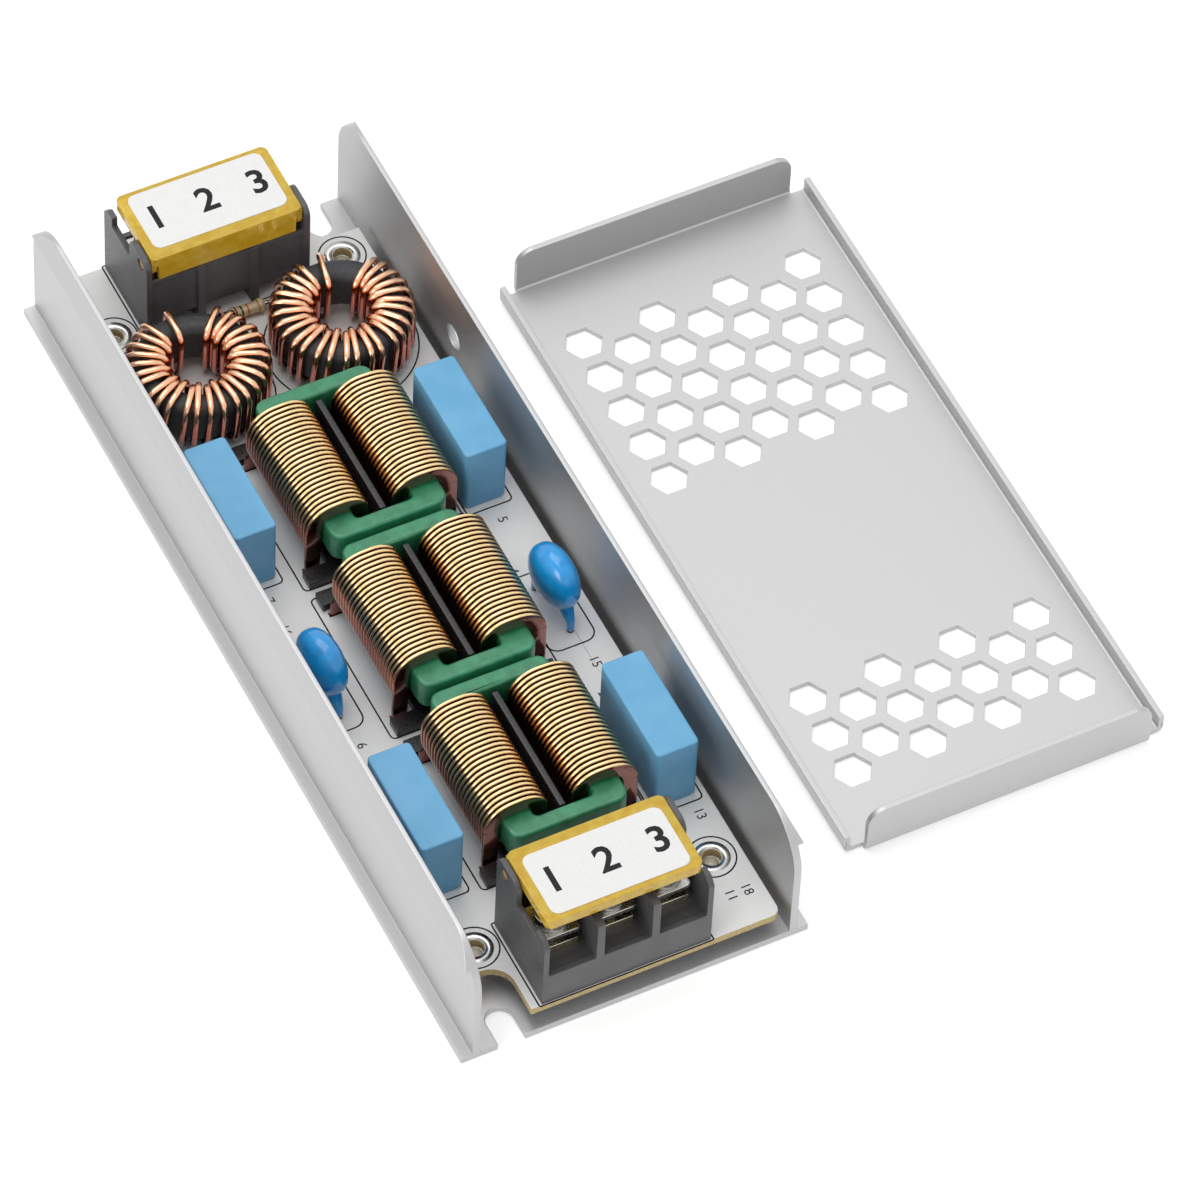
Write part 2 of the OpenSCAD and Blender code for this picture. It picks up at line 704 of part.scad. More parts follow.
// Flat-wire coil round one leg
// The path runs round the leg in eight points a turn; both ends run down its outer side.
// As many turns as the window of the core takes, and corners cut as far as the leg allows.
choke_turn_pitch = flat_wire_t + choke_turn_gap;
choke_turns = floor((choke_len - 2 * (choke_yoke_t + choke_end_gap) - flat_wire_t) / choke_turn_pitch);
coil_corner = 2 * choke_fit + (1 - sqrt(0.5)) * flat_wire_w - 0.2;
function coil_reach() = choke_turns * choke_turn_pitch / 2;
function coil_loop() =
    let(a = choke_half_w - flat_wire_w / 2, b = choke_half_h - flat_wire_w / 2, c = coil_corner)
    [
        [a, -b + c], [a, b - c], [a - c, b], [-a + c, b],
        [-a, b - c], [-a, -b + c], [-a + c, -b], [a - c, -b]
    ];
function coil_path() =
    let(loop = coil_loop(), m = len(loop), drop = lead_foot - choke_z, end = coil_reach())
    concat(
        [[loop[0].x, -end, drop]],
        [for (i = [1:choke_turns * m - 1])
            [loop[i % m].x, -end + i * 2 * end / (choke_turns * m), loop[i % m].y]],
        [[loop[0].x, end, loop[7].y - 0.9], [loop[0].x, end, drop]]
    );

module choke_coil(centre, side) {
    path = coil_path();
    color("#C8752E")
    translate([centre.x + side * choke_leg_gap / 2, centre.y, choke_z]) scale([side, 1, 1])
        swept_wire(path, [for (p = path) [0, 1, 0]], [
            for (s = [[-1, -1], [1, -1], [1, 1], [-1, 1]]) [s.x * flat_wire_w / 2, s.y * flat_wire_t / 2]
        ]);
}

module choke_core(centre) {
    w = choke_leg_gap + choke_leg_w;
    color("#3E8B62")
    translate([centre.x, centre.y, choke_z - choke_core_h / 2]) difference() {
        round_block(w, choke_len, choke_core_h, choke_core_r);
        translate([0, 0, -cut]) round_block(
            w - 2 * choke_leg_w, choke_len - 2 * choke_yoke_t, choke_core_h + 2 * cut, 0.8);
    }
}

// Base with a saddle under each yoke, four side lugs and the plate between the coils
module choke_base(centre) {
    w = choke_leg_gap + choke_leg_w - 0.6;
    saddle_h = choke_z - choke_core_h / 2 - board_top;
    saddle_t = choke_yoke_t - 0.6;
    plate_len = choke_len - 2 * choke_yoke_t - 1;
    lug_reach = choke_leg_gap / 2 + choke_half_w + 0.8;
    lug_y = (choke_len - 0.6) / 2 - 1.5;
    color("#222222")
    translate([centre.x, centre.y, board_top]) {
        round_block(w, choke_len - 0.6, choke_base_t, 1);
        for (s = [-1, 1]) translate([0, s * (choke_len - choke_yoke_t) / 2, saddle_h / 2])
            cube([0.6 * w, saddle_t, saddle_h], center = true);
        for (s = [-1, 1]) translate([-lug_reach, s * lug_y - 1.5, 0])
            cube([2 * lug_reach, 3, choke_base_t]);
        translate([-choke_plate_t / 2, -plate_len / 2, 0])
            cube([choke_plate_t, plate_len, choke_z + 2.2 - board_top]);
    }
}

// Toroid winding
// Inside the eye the turns lie closer than side by side, so every second one stands back a little.
toroid_out = toroid_d / 2 - toroid_wire / 2;
toroid_up = toroid_h / 2 - toroid_wire / 2;
toroid_step_back = 0.6 * toroid_wire;
toroid_mid_r = toroid_eye_r + toroid_wire / 2 + toroid_step_back / 2;
toroid_room = sqrt(pow(1.1 * toroid_wire, 2) - pow(toroid_step_back, 2));
toroid_turns = floor((360 - toroid_gap) / (2 * asin(toroid_room / 2 / toroid_mid_r)));
toroid_foot_r = toroid_d / 2 + toroid_foot_gap + toroid_wire / 2;
toroid_bend = 1.7;
function toroid_in(i) = toroid_eye_r + toroid_wire / 2 + (i % 2) * toroid_step_back;
function toroid_loop(i) =
    let(ro = toroid_out, ri = toroid_in(i), h = toroid_up, c = toroid_bend)
    [
        [ro, -h + c], [ro, h - c], [ro - c, h], [ri + c, h],
        [ri, h - c], [ri, -h + c], [ri + c, -h], [ro - c, -h]
    ];
function toroid_angle(t, dir) =
    dir + toroid_gap / 2 + t * (360 - toroid_gap) / toroid_turns - toroid_lone * max(0, 1 - t);
function toroid_path(dir) =
    let(drop = lead_foot - toroid_z, knee = board_top + 1 - toroid_z, first = dir + 9, last = dir - 15)
    concat(
        [[toroid_foot_r, drop, first], [toroid_foot_r, knee, first]],
        [for (i = [0:toroid_turns - 1], k = [(i == 0 ? 1 : 0):7])
            let(p = toroid_loop(i)[k]) [p.x, p.y, toroid_angle(i + k / 8, dir)]],
        [[toroid_foot_r, knee, last + 360], [toroid_foot_r, drop, last + 360]]
    );

function toroid_foot_place(centre, angle) = centre + toroid_foot_r * [cos(angle), sin(angle)];
function toroid_feet() = [
    for (i = [0:len(toroid_centres) - 1], a = [9, -15])
        toroid_foot_place(toroid_centres[i], toroid_gap_dirs[i] + a)
];

module toroid_winding(index) {
    centre = toroid_centres[index];
    path = toroid_path(toroid_gap_dirs[index]);
    r = toroid_wire / 2;
    color("#C0602A")
    translate([centre.x, centre.y, toroid_z])
        swept_wire(
            [for (p = path) [p.x * cos(p.z), p.x * sin(p.z), p.y]],
            [for (p = path) [-sin(p.z), cos(p.z), 0]],
            [for (a = [0:72:288]) r * [cos(a), sin(a)]]
        );
}

module toroid_core(index) {
    centre = toroid_centres[index];
    gap = toroid_wire / 2 + toroid_fit;
    inner = toroid_in(1) + gap;
    outer = toroid_out - gap;
    h = 2 * (toroid_up - gap);
    color("#55585A")
    translate([centre.x, centre.y, toroid_z]) rotate_extrude()
        translate([(inner + outer) / 2, 0]) round_rect(outer - inner, h, toroid_bend + 0.3);
}

module film_capacitor(centre) {
    lift = 0.3;
    color("#4E9CC8")
    translate([centre.x, centre.y, 0]) {
        translate([0, 0, board_top + lift]) round_block(film_w, film_len, film_h - lift, film_r);
        for (s = [-1, 1]) translate([0, s * (film_len - 1.6) / 2, board_top + lift / 2 + 0.1])
            cube([film_w - 2 * film_r, 1.6, lift + 0.2], center = true);
        for (s = [-1, 1]) translate([0, s * film_lead_pitch / 2, lead_foot])
            cylinder(h = board_top + 2 - lead_foot, d = lead_d);
    }
}

// Disc on edge; its coating runs a little way down the two spread leads
module disc_capacitor(centre) {
    z = board_top + disc_rise;
    knee = z - lead_foot - 0.66 * disc_d;
    coat_d = 1.5 * lead_d;
    color("#1B8FD6")
    translate([centre.x, centre.y, 0]) rotate([0, 0, disc_turn]) {
        translate([0, 0, z]) rotate([0, 90, 0]) rotate_extrude() disc_outline();
        for (s = [-1, 1]) translate([0, s * disc_lead_pitch / 2, lead_foot]) {
            cylinder(h = knee, d = lead_d);
            translate([0, 0, knee - 0.6]) rotate([s * 20, 0, 0]) cylinder(h = 0.5 * disc_d, d = coat_d);
        }
    }
}

// Half section of a disc: flat faces and a round rim
module disc_outline() {
    half = disc_t / 2;
    r = 0.85 * half;
    difference() {
        translate([0, -half]) square([disc_d / 2, disc_t]);
        for (s = [-1, 1]) translate([disc_d / 2 - r, s * (half - r)]) scale([1, s]) difference() {
            square([r + cut, r + cut]);
            circle(r);
        }
    }
}

// Axial resistor lying across the board, with both leads bent down
module resistor() {
    z = board_top + resistor_d / 2 + 0.2;
    bend = 1;
    straight = resistor_pitch / 2 - bend;
    color("#D9C7A0")
    translate([resistor_x, resistor_y, z]) {
        rotate([0, 90, 0]) rotate_extrude() resistor_outline();
        for (s = [-1, 1]) scale([s, 1, 1]) {
            rotate([0, 90, 0]) cylinder(h = straight, d = lead_d);
            translate([straight, 0, -bend]) rotate([90, 0, 0])
                rotate_extrude(angle = 90) translate([bend, 0]) circle(d = lead_d);
            translate([straight + bend, 0, lead_foot - z]) cylinder(h = z - bend - lead_foot, d = lead_d);
        }
    }
}

module resistor_outline() {
    cap = 1.6;
    waist = resistor_d / 2 - 0.25;
    translate([0, -resistor_len / 2]) square([waist, resistor_len]);
    for (s = [-1, 1]) translate([0, s * (resistor_len - cap) / 2 - cap / 2])
        square([resistor_d / 2, cap]);
}

chassis();
vent_cover();
board_spacers();
circuit_board();
terminal_block(-1);  // output_block
terminal_strips(-1);  // output_strips
clamp_washers(-1);  // output_washers
terminal_screws(-1);  // output_screws
flap(-1);  // output_flap
label(-1);  // output_label
terminal_block(1);  // input_block
terminal_strips(1);  // input_strips
clamp_washers(1);  // input_washers
terminal_screws(1);  // input_screws
flap(1);  // input_flap
label(1);  // input_label
toroid_core(0);  // toroid_1_core
toroid_winding(0);  // toroid_1_winding
toroid_core(1);  // toroid_2_core
toroid_winding(1);  // toroid_2_winding
choke_core(choke_centres[0]);  // choke_1_core
choke_base(choke_centres[0]);  // choke_1_base
choke_coil(choke_centres[0], -1);  // choke_1_coil_left
choke_coil(choke_centres[0], 1);  // choke_1_coil_right
choke_core(choke_centres[1]);  // choke_2_core
choke_base(choke_centres[1]);  // choke_2_base
choke_coil(choke_centres[1], -1);  // choke_2_coil_left
choke_coil(choke_centres[1], 1);  // choke_2_coil_right
choke_core(choke_centres[2]);  // choke_3_core
choke_base(choke_centres[2]);  // choke_3_base
choke_coil(choke_centres[2], -1);  // choke_3_coil_left
choke_coil(choke_centres[2], 1);  // choke_3_coil_right
film_capacitor(film_centres[0]);  // film_capacitor_1
film_capacitor(film_centres[1]);  // film_capacitor_2
film_capacitor(film_centres[2]);  // film_capacitor_3
film_capacitor(film_centres[3]);  // film_capacitor_4
disc_capacitor(disc_centres[0]);  // disc_capacitor_1
disc_capacitor(disc_centres[1]);  // disc_capacitor_2
resistor();
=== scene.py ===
import math

import bmesh
import bpy
from mathutils import Euler, Matrix, Vector
from mathutils.bvhtree import BVHTree


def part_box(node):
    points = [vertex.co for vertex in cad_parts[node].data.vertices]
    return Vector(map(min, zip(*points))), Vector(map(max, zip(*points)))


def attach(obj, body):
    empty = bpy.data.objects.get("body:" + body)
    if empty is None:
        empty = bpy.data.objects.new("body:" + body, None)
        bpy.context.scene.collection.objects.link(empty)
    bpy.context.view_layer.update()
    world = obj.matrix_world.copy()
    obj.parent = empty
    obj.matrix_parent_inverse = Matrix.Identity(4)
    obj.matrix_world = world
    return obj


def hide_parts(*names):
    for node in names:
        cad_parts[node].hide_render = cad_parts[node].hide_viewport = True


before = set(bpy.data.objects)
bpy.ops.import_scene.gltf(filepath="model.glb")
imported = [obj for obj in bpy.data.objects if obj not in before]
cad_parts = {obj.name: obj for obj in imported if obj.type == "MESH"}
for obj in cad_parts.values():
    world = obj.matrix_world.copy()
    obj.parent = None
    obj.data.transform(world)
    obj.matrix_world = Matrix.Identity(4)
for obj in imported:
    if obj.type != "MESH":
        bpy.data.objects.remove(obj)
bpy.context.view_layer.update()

scene = bpy.context.scene
mm = 0.001

# Camera
# It stands to the left of the output end and looks down over the filter and its lid through a long lens,
# rolled a little about its line of sight.
sight_aim = Vector((29.35, -10.56, 0)) * mm
sight_distance = 1406.8 * mm
sight_bearing = math.radians(28.96)
sight_fall = math.radians(52.42)
sight_roll = math.radians(3.23)
level_turn = Euler((math.radians(90) - sight_fall, 0, -sight_bearing)).to_matrix()
camera_turn = level_turn @ Matrix.Rotation(sight_roll, 3, "Z")
lens = bpy.data.cameras.new("camera")
lens.sensor_width = 36
lens.lens = 264.06
camera = bpy.data.objects.new("camera", lens)
camera_place = sight_aim + sight_distance * (camera_turn @ Vector((0, 0, 1)))
camera.matrix_world = Matrix.Translation(camera_place) @ camera_turn.to_4x4()
scene.collection.objects.link(camera)
scene.camera = camera
scene.view_settings.view_transform = "Standard"


# Light and floor
# A white studio: one wide soft box overhead, a narrower one low on the left, and a plain pale floor.
# The room is white to the camera and to gloss, and dimmer as a source of light.
def linear(colour):
    """The linear value of an sRGB hex colour such as #C8C8C8."""
    shares = [int(colour[i:i + 2], 16) / 255 for i in (1, 3, 5)]
    return [c / 12.92 if c <= 0.04045 else ((c + 0.055) / 1.055) ** 2.4 for c in shares] + [1]


def add_node(tree, kind, inputs=None, **settings):
    """Adds a node. Settings are its properties, and each input is a value or another node's output."""
    new = tree.nodes.new(kind)
    for name, value in settings.items():
        setattr(new, name, value)
    for name, value in (inputs or {}).items():
        if isinstance(value, bpy.types.NodeSocket):
            tree.links.new(value, new.inputs[name])
        else:
            new.inputs[name].default_value = value
    return new


def seen_directly(tree):
    """1 for rays from the camera and for those that gloss or clear plastic sends on, and 0 for the rest."""
    ray = add_node(tree, "ShaderNodeLightPath").outputs
    shown = add_node(
        tree, "ShaderNodeMath", {0: ray["Is Camera Ray"], 1: ray["Is Glossy Ray"]}, operation="MAXIMUM")
    either = add_node(
        tree, "ShaderNodeMath", {0: shown.outputs[0], 1: ray["Is Transmission Ray"]}, operation="MAXIMUM")
    return either.outputs[0]


def soft_box(name, place, size, power):
    """A square lamp that faces the middle of the part."""
    lamp = bpy.data.lights.new(name, "AREA")
    lamp.size = size
    lamp.energy = power
    holder = bpy.data.objects.new(name, lamp)
    aim = (sight_aim - place).to_track_quat("-Z", "Y")
    holder.matrix_world = Matrix.Translation(place) @ aim.to_matrix().to_4x4()
    scene.collection.objects.link(holder)


soft_box("overhead_box", place=Vector((-0.10, 0.25, 1.0)), size=0.9, power=4.6)
soft_box("left_box", place=Vector((-0.90, -0.45, 0.42)), size=0.5, power=2.8)

room_light = 0.55
room = bpy.data.worlds.new("white_room")
room.use_nodes = True
room_strength = add_node(
    room.node_tree, "ShaderNodeMapRange",
    {"Value": seen_directly(room.node_tree), "To Min": room_light, "To Max": 1})
room_shader = room.node_tree.nodes["Background"]
room_shader.inputs["Color"].default_value = linear("#FFFFFF")
room.node_tree.links.new(room_strength.outputs["Result"], room_shader.inputs["Strength"])
scene.world = room


def surface(name, colour, finish):
    """A material with one main shader, whose plain sockets are set from the finish."""
    material = bpy.data.materials.new(name)
    material.use_nodes = True
    shader = material.node_tree.nodes["Principled BSDF"]
    shader.inputs["Base Color"].default_value = linear(colour)
    for socket, value in finish.items():
        shader.inputs[socket].default_value = value
    return material


floor_reach = 3
floor_gap = 0.05 * mm
floor_lift = 0.4
floor_paper = surface("matt_white_studio_paper", "#F4F4F4", {"Roughness": 0.9, "Specular IOR Level": 0.1})
floor_shader = floor_paper.node_tree.nodes["Principled BSDF"]
floor_shader.inputs["Emission Color"].default_value = linear("#FFFFFF")
floor_glow = add_node(
    floor_paper.node_tree, "ShaderNodeMath",
    {0: seen_directly(floor_paper.node_tree), 1: floor_lift}, operation="MULTIPLY")
floor_paper.node_tree.links.new(floor_glow.outputs[0], floor_shader.inputs["Emission Strength"])
floor_mesh = bpy.data.meshes.new("floor")
floor_mesh.from_pydata(
    [(x * floor_reach, y * floor_reach, -floor_gap) for x, y in ((-1, -1), (1, -1), (1, 1), (-1, 1))],
    [], [(0, 1, 2, 3)])
floor_mesh.materials.append(floor_paper)
floor = bpy.data.objects.new("floor", floor_mesh)
scene.collection.objects.link(floor)


# Tray
# One length of extruded aluminium with a foot outside each wall and a snap band along its top, sawn to
# length and etched satin. The corners, slots and holes are punched. It stands on its flat underside.
def as_plain_mesh(piece):
    """Replaces an object by what its modifiers or its curve make of it, as a plain mesh of the same name."""
    name = piece.name
    piece.name = name + "_source"
    bpy.context.view_layer.update()
    view = bpy.context.evaluated_depsgraph_get()
    mesh = bpy.data.meshes.new_from_object(
        piece.evaluated_get(view), preserve_all_data_layers=True, depsgraph=view)
    bpy.data.objects.remove(piece)
    plain = bpy.data.objects.new(name, mesh)
    scene.collection.objects.link(plain)
    return plain


def finished_copy(node, material, edge, steps=2):
    """A copy of a part of the frame with its flat faces made whole and its edges eased by so much."""
    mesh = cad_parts[node].data.copy()
    form = bmesh.new()
    form.from_mesh(mesh)
    bmesh.ops.remove_doubles(form, verts=form.verts, dist=0.01 * mm)
    bmesh.ops.dissolve_limit(form, angle_limit=math.radians(0.3), verts=form.verts, edges=form.edges)
    for face in form.faces:
        face.smooth = True
        face.material_index = 0
    form.to_mesh(mesh)
    form.free()
    mesh.materials.clear()
    mesh.materials.append(material)
    piece = bpy.data.objects.new(node + "_finished", mesh)
    scene.collection.objects.link(piece)
    ease = piece.modifiers.new("eased edges", "BEVEL")
    ease.width = edge
    ease.segments = steps
    ease.limit_method = "ANGLE"
    ease.angle_limit = math.radians(35)
    ease.use_clamp_overlap = False
    even = piece.modifiers.new("flat faces", "WEIGHTED_NORMAL")
    even.weight = 100
    piece = as_plain_mesh(piece)
    # Where edges meet at a slant, the easing throws a few points off, so they are put back on the part
    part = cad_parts[node].data
    skin = BVHTree.FromPolygons(
        [point.co for point in part.vertices], [face.vertices for face in part.polygons])
    for point in piece.data.vertices:
        nearest, _, _, stray = skin.find_nearest(point.co)
        if stray > edge:
            point.co = nearest
    return piece


def settle(piece, body, finish, *nodes):
    """Fixes a piece to its body and hides the parts of the frame that it stands for. The finish is not used.
    """
    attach(piece, body)
    if nodes:
        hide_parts(*nodes)


def refinish(node, material, body, finish, edge, steps=2):
    """Puts a finished copy in the place of a part of the frame."""
    settle(finished_copy(node, material, edge, steps), body, finish, node)


def grain(material, size, depth=0, stretch=(1, 1, 1), colours=None, gloss=None):
    """Noise of a given size in metres: its depth is bump, and it may blend two colours or two roughnesses."""
    tree = material.node_tree
    shader = tree.nodes["Principled BSDF"].inputs
    place = add_node(tree, "ShaderNodeTexCoord").outputs["Object"]
    scale = add_node(tree, "ShaderNodeMapping", {"Vector": place, "Scale": [s / size for s in stretch]})
    noise = add_node(tree, "ShaderNodeTexNoise", {
        "Vector": scale.outputs["Vector"], "Scale": 1, "Detail": 3}).outputs["Fac"]
    if depth:
        bump = add_node(tree, "ShaderNodeBump", {"Height": noise, "Distance": depth, "Strength": 1})
        if shader["Normal"].is_linked:
            tree.links.new(shader["Normal"].links[0].from_socket, bump.inputs["Normal"])
        tree.links.new(bump.outputs["Normal"], shader["Normal"])
    if colours:
        blend = add_node(tree, "ShaderNodeValToRGB", {"Fac": noise})
        for stop, level, colour in zip(blend.color_ramp.elements, (0.35, 0.65), colours):
            stop.position = level
            stop.color = linear(colour)
        tree.links.new(blend.outputs["Color"], shader["Base Color"])
    if gloss:
        spread = add_node(tree, "ShaderNodeMapRange", {
            "Value": noise, "From Min": 0.3, "From Max": 0.7, "To Min": gloss[0], "To Max": gloss[1]})
        tree.links.new(spread.outputs["Result"], shader["Roughness"])


# Etched 6000-series aluminium: an even satin grey, with faint lines along the extrusion and a fine matt
# grit. The grit is drawn a few times too coarse, so that it shows.
extruded_aluminium = surface("etched_extruded_aluminium", "#BDBDBE", {"Metallic": 1, "Roughness": 0.46})
grain(extruded_aluminium, 0.7 * mm, 0.002 * mm, stretch=(1, 0.01, 1), gloss=(0.42, 0.52))
grain(extruded_aluminium, 0.3 * mm, 0.003 * mm)
refinish("chassis", extruded_aluminium, "root", "tray_aluminium", edge=0.15 * mm)

# Spacers
# Four turned brass spacers with tin plating are swaged into the floor of the tray and carry the board.
# Each has a thread for a screw from above.
turned_tin = surface("tin_plated_turned_brass", "#D6D2C6", {"Metallic": 1, "Roughness": 0.3})
grain(turned_tin, 0.25 * mm, 0.003 * mm, stretch=(0.2, 0.2, 1), gloss=(0.25, 0.4))
refinish("board_spacers", turned_tin, "root", "spacer_tin", edge=0.12 * mm)

# Circuit board
# Glass laminate 1.6 mm thick under white solder resist, routed and drilled, so its cut edges and the
# walls of its holes show the tan laminate. It lies on the spacers.
white_resist = surface("white_solder_resist", "#F3F3F1", {"Roughness": 0.3, "Specular IOR Level": 0.5})
grain(white_resist, 9 * mm, 0.012 * mm, colours=("#F0F0EE", "#F6F6F4"))
cut_laminate = surface("routed_glass_laminate", "#C9B27A", {"Roughness": 0.75})
grain(cut_laminate, 0.5 * mm, 0.02 * mm, stretch=(1, 1, 3), colours=("#B89C60", "#DCCB9C"))
board = finished_copy("circuit_board", white_resist, edge=0.08 * mm, steps=1)
board.data.materials.append(cut_laminate)
for face in board.data.polygons:
    if abs(face.normal.z) < 0.5:
        face.material_index = 1
settle(board, "root", "board_white", "circuit_board")

board_low, board_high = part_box("circuit_board")
board_top = board_high.z
board_under = board_low.z


# Board print
# Black ink in thin raised lines: a ring round each screw hole and each ring coil, a frame round each
# block, choke and capacitor, and plain place numbers.
def new_tree(name, inputs):
    """A Geometry Nodes tree with the named inputs, and geometry in and out. Returns it and its inputs."""
    tree = bpy.data.node_groups.new(name, "GeometryNodeTree")
    tree.interface.new_socket("Geometry", in_out="INPUT", socket_type="NodeSocketGeometry")
    for label, kind in inputs.items():
        tree.interface.new_socket(label, in_out="INPUT", socket_type="NodeSocket" + kind)
    tree.interface.new_socket("Geometry", in_out="OUTPUT", socket_type="NodeSocketGeometry")
    return tree, add_node(tree, "NodeGroupInput").outputs


def end_tree(tree, mesh, material):
    """Ends a tree: real geometry with smooth faces in its one material."""
    real = add_node(tree, "GeometryNodeRealizeInstances", {"Geometry": mesh})
    smooth = add_node(tree, "GeometryNodeSetShadeSmooth", {"Geometry": real.outputs["Geometry"]})
    painted = add_node(
        tree, "GeometryNodeSetMaterial", {"Geometry": smooth.outputs["Geometry"], "Material": material})
    add_node(tree, "NodeGroupOutput", {"Geometry": painted.outputs["Geometry"]})


def grow(name, seed_data, tree, values):
    """Runs a tree on a mesh or curve, with its inputs set by name, and returns the result as a plain mesh."""
    piece = bpy.data.objects.new(name, seed_data)
    scene.collection.objects.link(piece)
    modifier = piece.modifiers.new(tree.name, "NODES")
    modifier.node_group = tree
    for socket in tree.interface.items_tree:
        if socket.in_out == "INPUT" and socket.name in values:
            modifier[socket.identifier] = values[socket.name]
    return as_plain_mesh(piece)


def line_set(name, lines):
    """A curve of straight-sided lines, each a list of points and whether it closes."""
    curve = bpy.data.curves.new(name, "CURVE")
    curve.dimensions = "3D"
    for points, closed in lines:
        line = curve.splines.new("POLY")
        line.points.add(len(points) - 1)
        for spot, point in zip(line.points, points):
            spot.co = (*point, 1)
        line.use_cyclic_u = closed
    return curve


def ring_line(x, y, radius, height):
    """A closed circle on the board."""
    count = 48
    turns = [2 * math.pi * i / count for i in range(count)]
    return [(x + radius * math.cos(a), y + radius * math.sin(a), height) for a in turns], True


def frame_line(x, y, width, length, height, corner=0.8 * mm):
    """A closed rectangle on the board with small round corners."""
    points = []
    for step, (sx, sy) in enumerate(((1, 1), (-1, 1), (-1, -1), (1, -1))):
        for i in range(5):
            a = math.radians(90 * step + 22.5 * i)
            points.append((
                x + sx * (width / 2 - corner) + corner * math.cos(a),
                y + sy * (length / 2 - corner) + corner * math.sin(a), height))
    return points, True


def ink_line_tree():
    """Sweeps a flat film of ink along each line that it is given."""
    tree, given = new_tree("ink_line", {"Line Width": "Float", "Film": "Float", "Material": "Material"})
    upright = add_node(tree, "GeometryNodeSetCurveNormal", {"Curve": given["Geometry"]}, mode="Z_UP")
    film = add_node(tree, "GeometryNodeCurvePrimitiveQuadrilateral", {
        "Width": given["Line Width"], "Height": given["Film"]})
    swept = add_node(tree, "GeometryNodeCurveToMesh", {
        "Curve": upright.outputs["Curve"], "Profile Curve": film.outputs["Curve"], "Fill Caps": True})
    end_tree(tree, swept.outputs["Mesh"], given["Material"])
    return tree


def middle(node):
    """Middle of a part of the frame, and its size."""
    low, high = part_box(node)
    return (low + high) / 2, high - low


# Screen ink: a thin, slightly glossy black film that breaks up a little at its edges.
black_ink = surface("black_screen_ink", "#18181A", {"Roughness": 0.5, "Specular IOR Level": 0.2})
grain(black_ink, 0.4 * mm, 0.01 * mm, colours=("#101012", "#28282A"))
ink_film = 0.03 * mm
ink_height = board_top + ink_film / 2 - 0.005 * mm
screw_hole_places = [(sx * 20.5 * mm, sy * 67 * mm) for sx in (-1, 1) for sy in (-1, 1)]
screw_ring_radius = 3.9 * mm
coil_ring_margin = 1.9 * mm
choke_frame_width = 30.2 * mm
choke_frame_inset = 0.6 * mm
film_frame_side = 1.3 * mm
film_frame_end = 2.4 * mm
disc_frame_width = 8.4 * mm
disc_frame_length = 16 * mm
block_frame_side = 0.9 * mm
block_frame_end = 0.4 * mm
print_lines = [ring_line(x, y, screw_ring_radius, ink_height) for x, y in screw_hole_places]
for coil_core in ("toroid_1_core", "toroid_2_core"):
    spot, size = middle(coil_core)
    print_lines.append(ring_line(spot.x, spot.y, size.x / 2 + coil_ring_margin, ink_height))
for number in (1, 2, 3):
    spot, size = middle(f"choke_{number}_core")
    print_lines.append(
        frame_line(spot.x, spot.y, choke_frame_width, size.y - choke_frame_inset, ink_height))
for number in (1, 2, 3, 4):
    spot, size = middle(f"film_capacitor_{number}")
    print_lines.append(
        frame_line(spot.x, spot.y, size.x + film_frame_side, size.y + film_frame_end, ink_height))
for number in (1, 2):
    spot, size = middle(f"disc_capacitor_{number}")
    print_lines.append(
        frame_line(spot.x, spot.y, disc_frame_width, disc_frame_length, ink_height, corner=2 * mm))
for end in ("output", "input"):
    spot, size = middle(end + "_block")
    print_lines.append(frame_line(
        spot.x, spot.y, size.x + block_frame_side, size.y + block_frame_end, ink_height, corner=0.3 * mm))
print_mesh = grow("board_print_lines", line_set("print_lines", print_lines), ink_line_tree(), {
    "Line Width": 0.26 * mm, "Film": ink_film, "Material": black_ink})
settle(print_mesh, "root", "base_black")


def printed_number(name, words, spot, height, material, film, turn=0, weight=0):
    """Plain numbers in raised ink, as a mesh whose place is in its points."""
    letters = bpy.data.curves.new(name, "FONT")
    letters.body = words
    letters.size = height
    letters.extrude = film / 2
    letters.align_x = "CENTER"
    letters.align_y = "CENTER"
    letters.offset = weight
    letters.resolution_u = 3
    piece = bpy.data.objects.new(name, letters)
    scene.collection.objects.link(piece)
    piece = as_plain_mesh(piece)
    piece.data.transform(Matrix.Translation(spot) @ Matrix.Rotation(turn, 4, "Z"))
    piece.data.materials.clear()
    piece.data.materials.append(material)
    return piece


number_places = {
    "1": (8.5, -62.2), "2": (19.3, -31.4), "3": (-20.4, -32.4), "4": (17.2, -3.6), "5": (20.2, 6.6),
    "6": (-19.6, -24.6), "7": (-20.6, 7.4), "8": (-22.4, 62.4), "9": (21.0, 34.6), "10": (-21.0, 35.4),
    "11": (19.9, -74.8), "12": (-1.0, 57.6), "13": (22.6, -58.8), "14": (-22.8, -59.6), "15": (21.0, -25.2),
    "16": (-20.8, 1.0), "17": (22.0, 62.6), "18": (22.7, -74.8)}
number_height = 2.3 * mm
for number, (x, y) in number_places.items():
    mark = printed_number(
        "board_number_" + number, number, Vector((x * mm, y * mm, ink_height)), number_height, black_ink,
        ink_film, turn=math.radians(-90))
    settle(mark, "root", "base_black")

# Screw pads
# Tinned copper rings round the four screw holes, on top of the board, where the screw heads would bear.
bright_tin = surface("hot_tinned_copper", "#D9D8D4", {"Metallic": 1, "Roughness": 0.25})
grain(bright_tin, 1.4 * mm, 0.03 * mm, gloss=(0.18, 0.36))


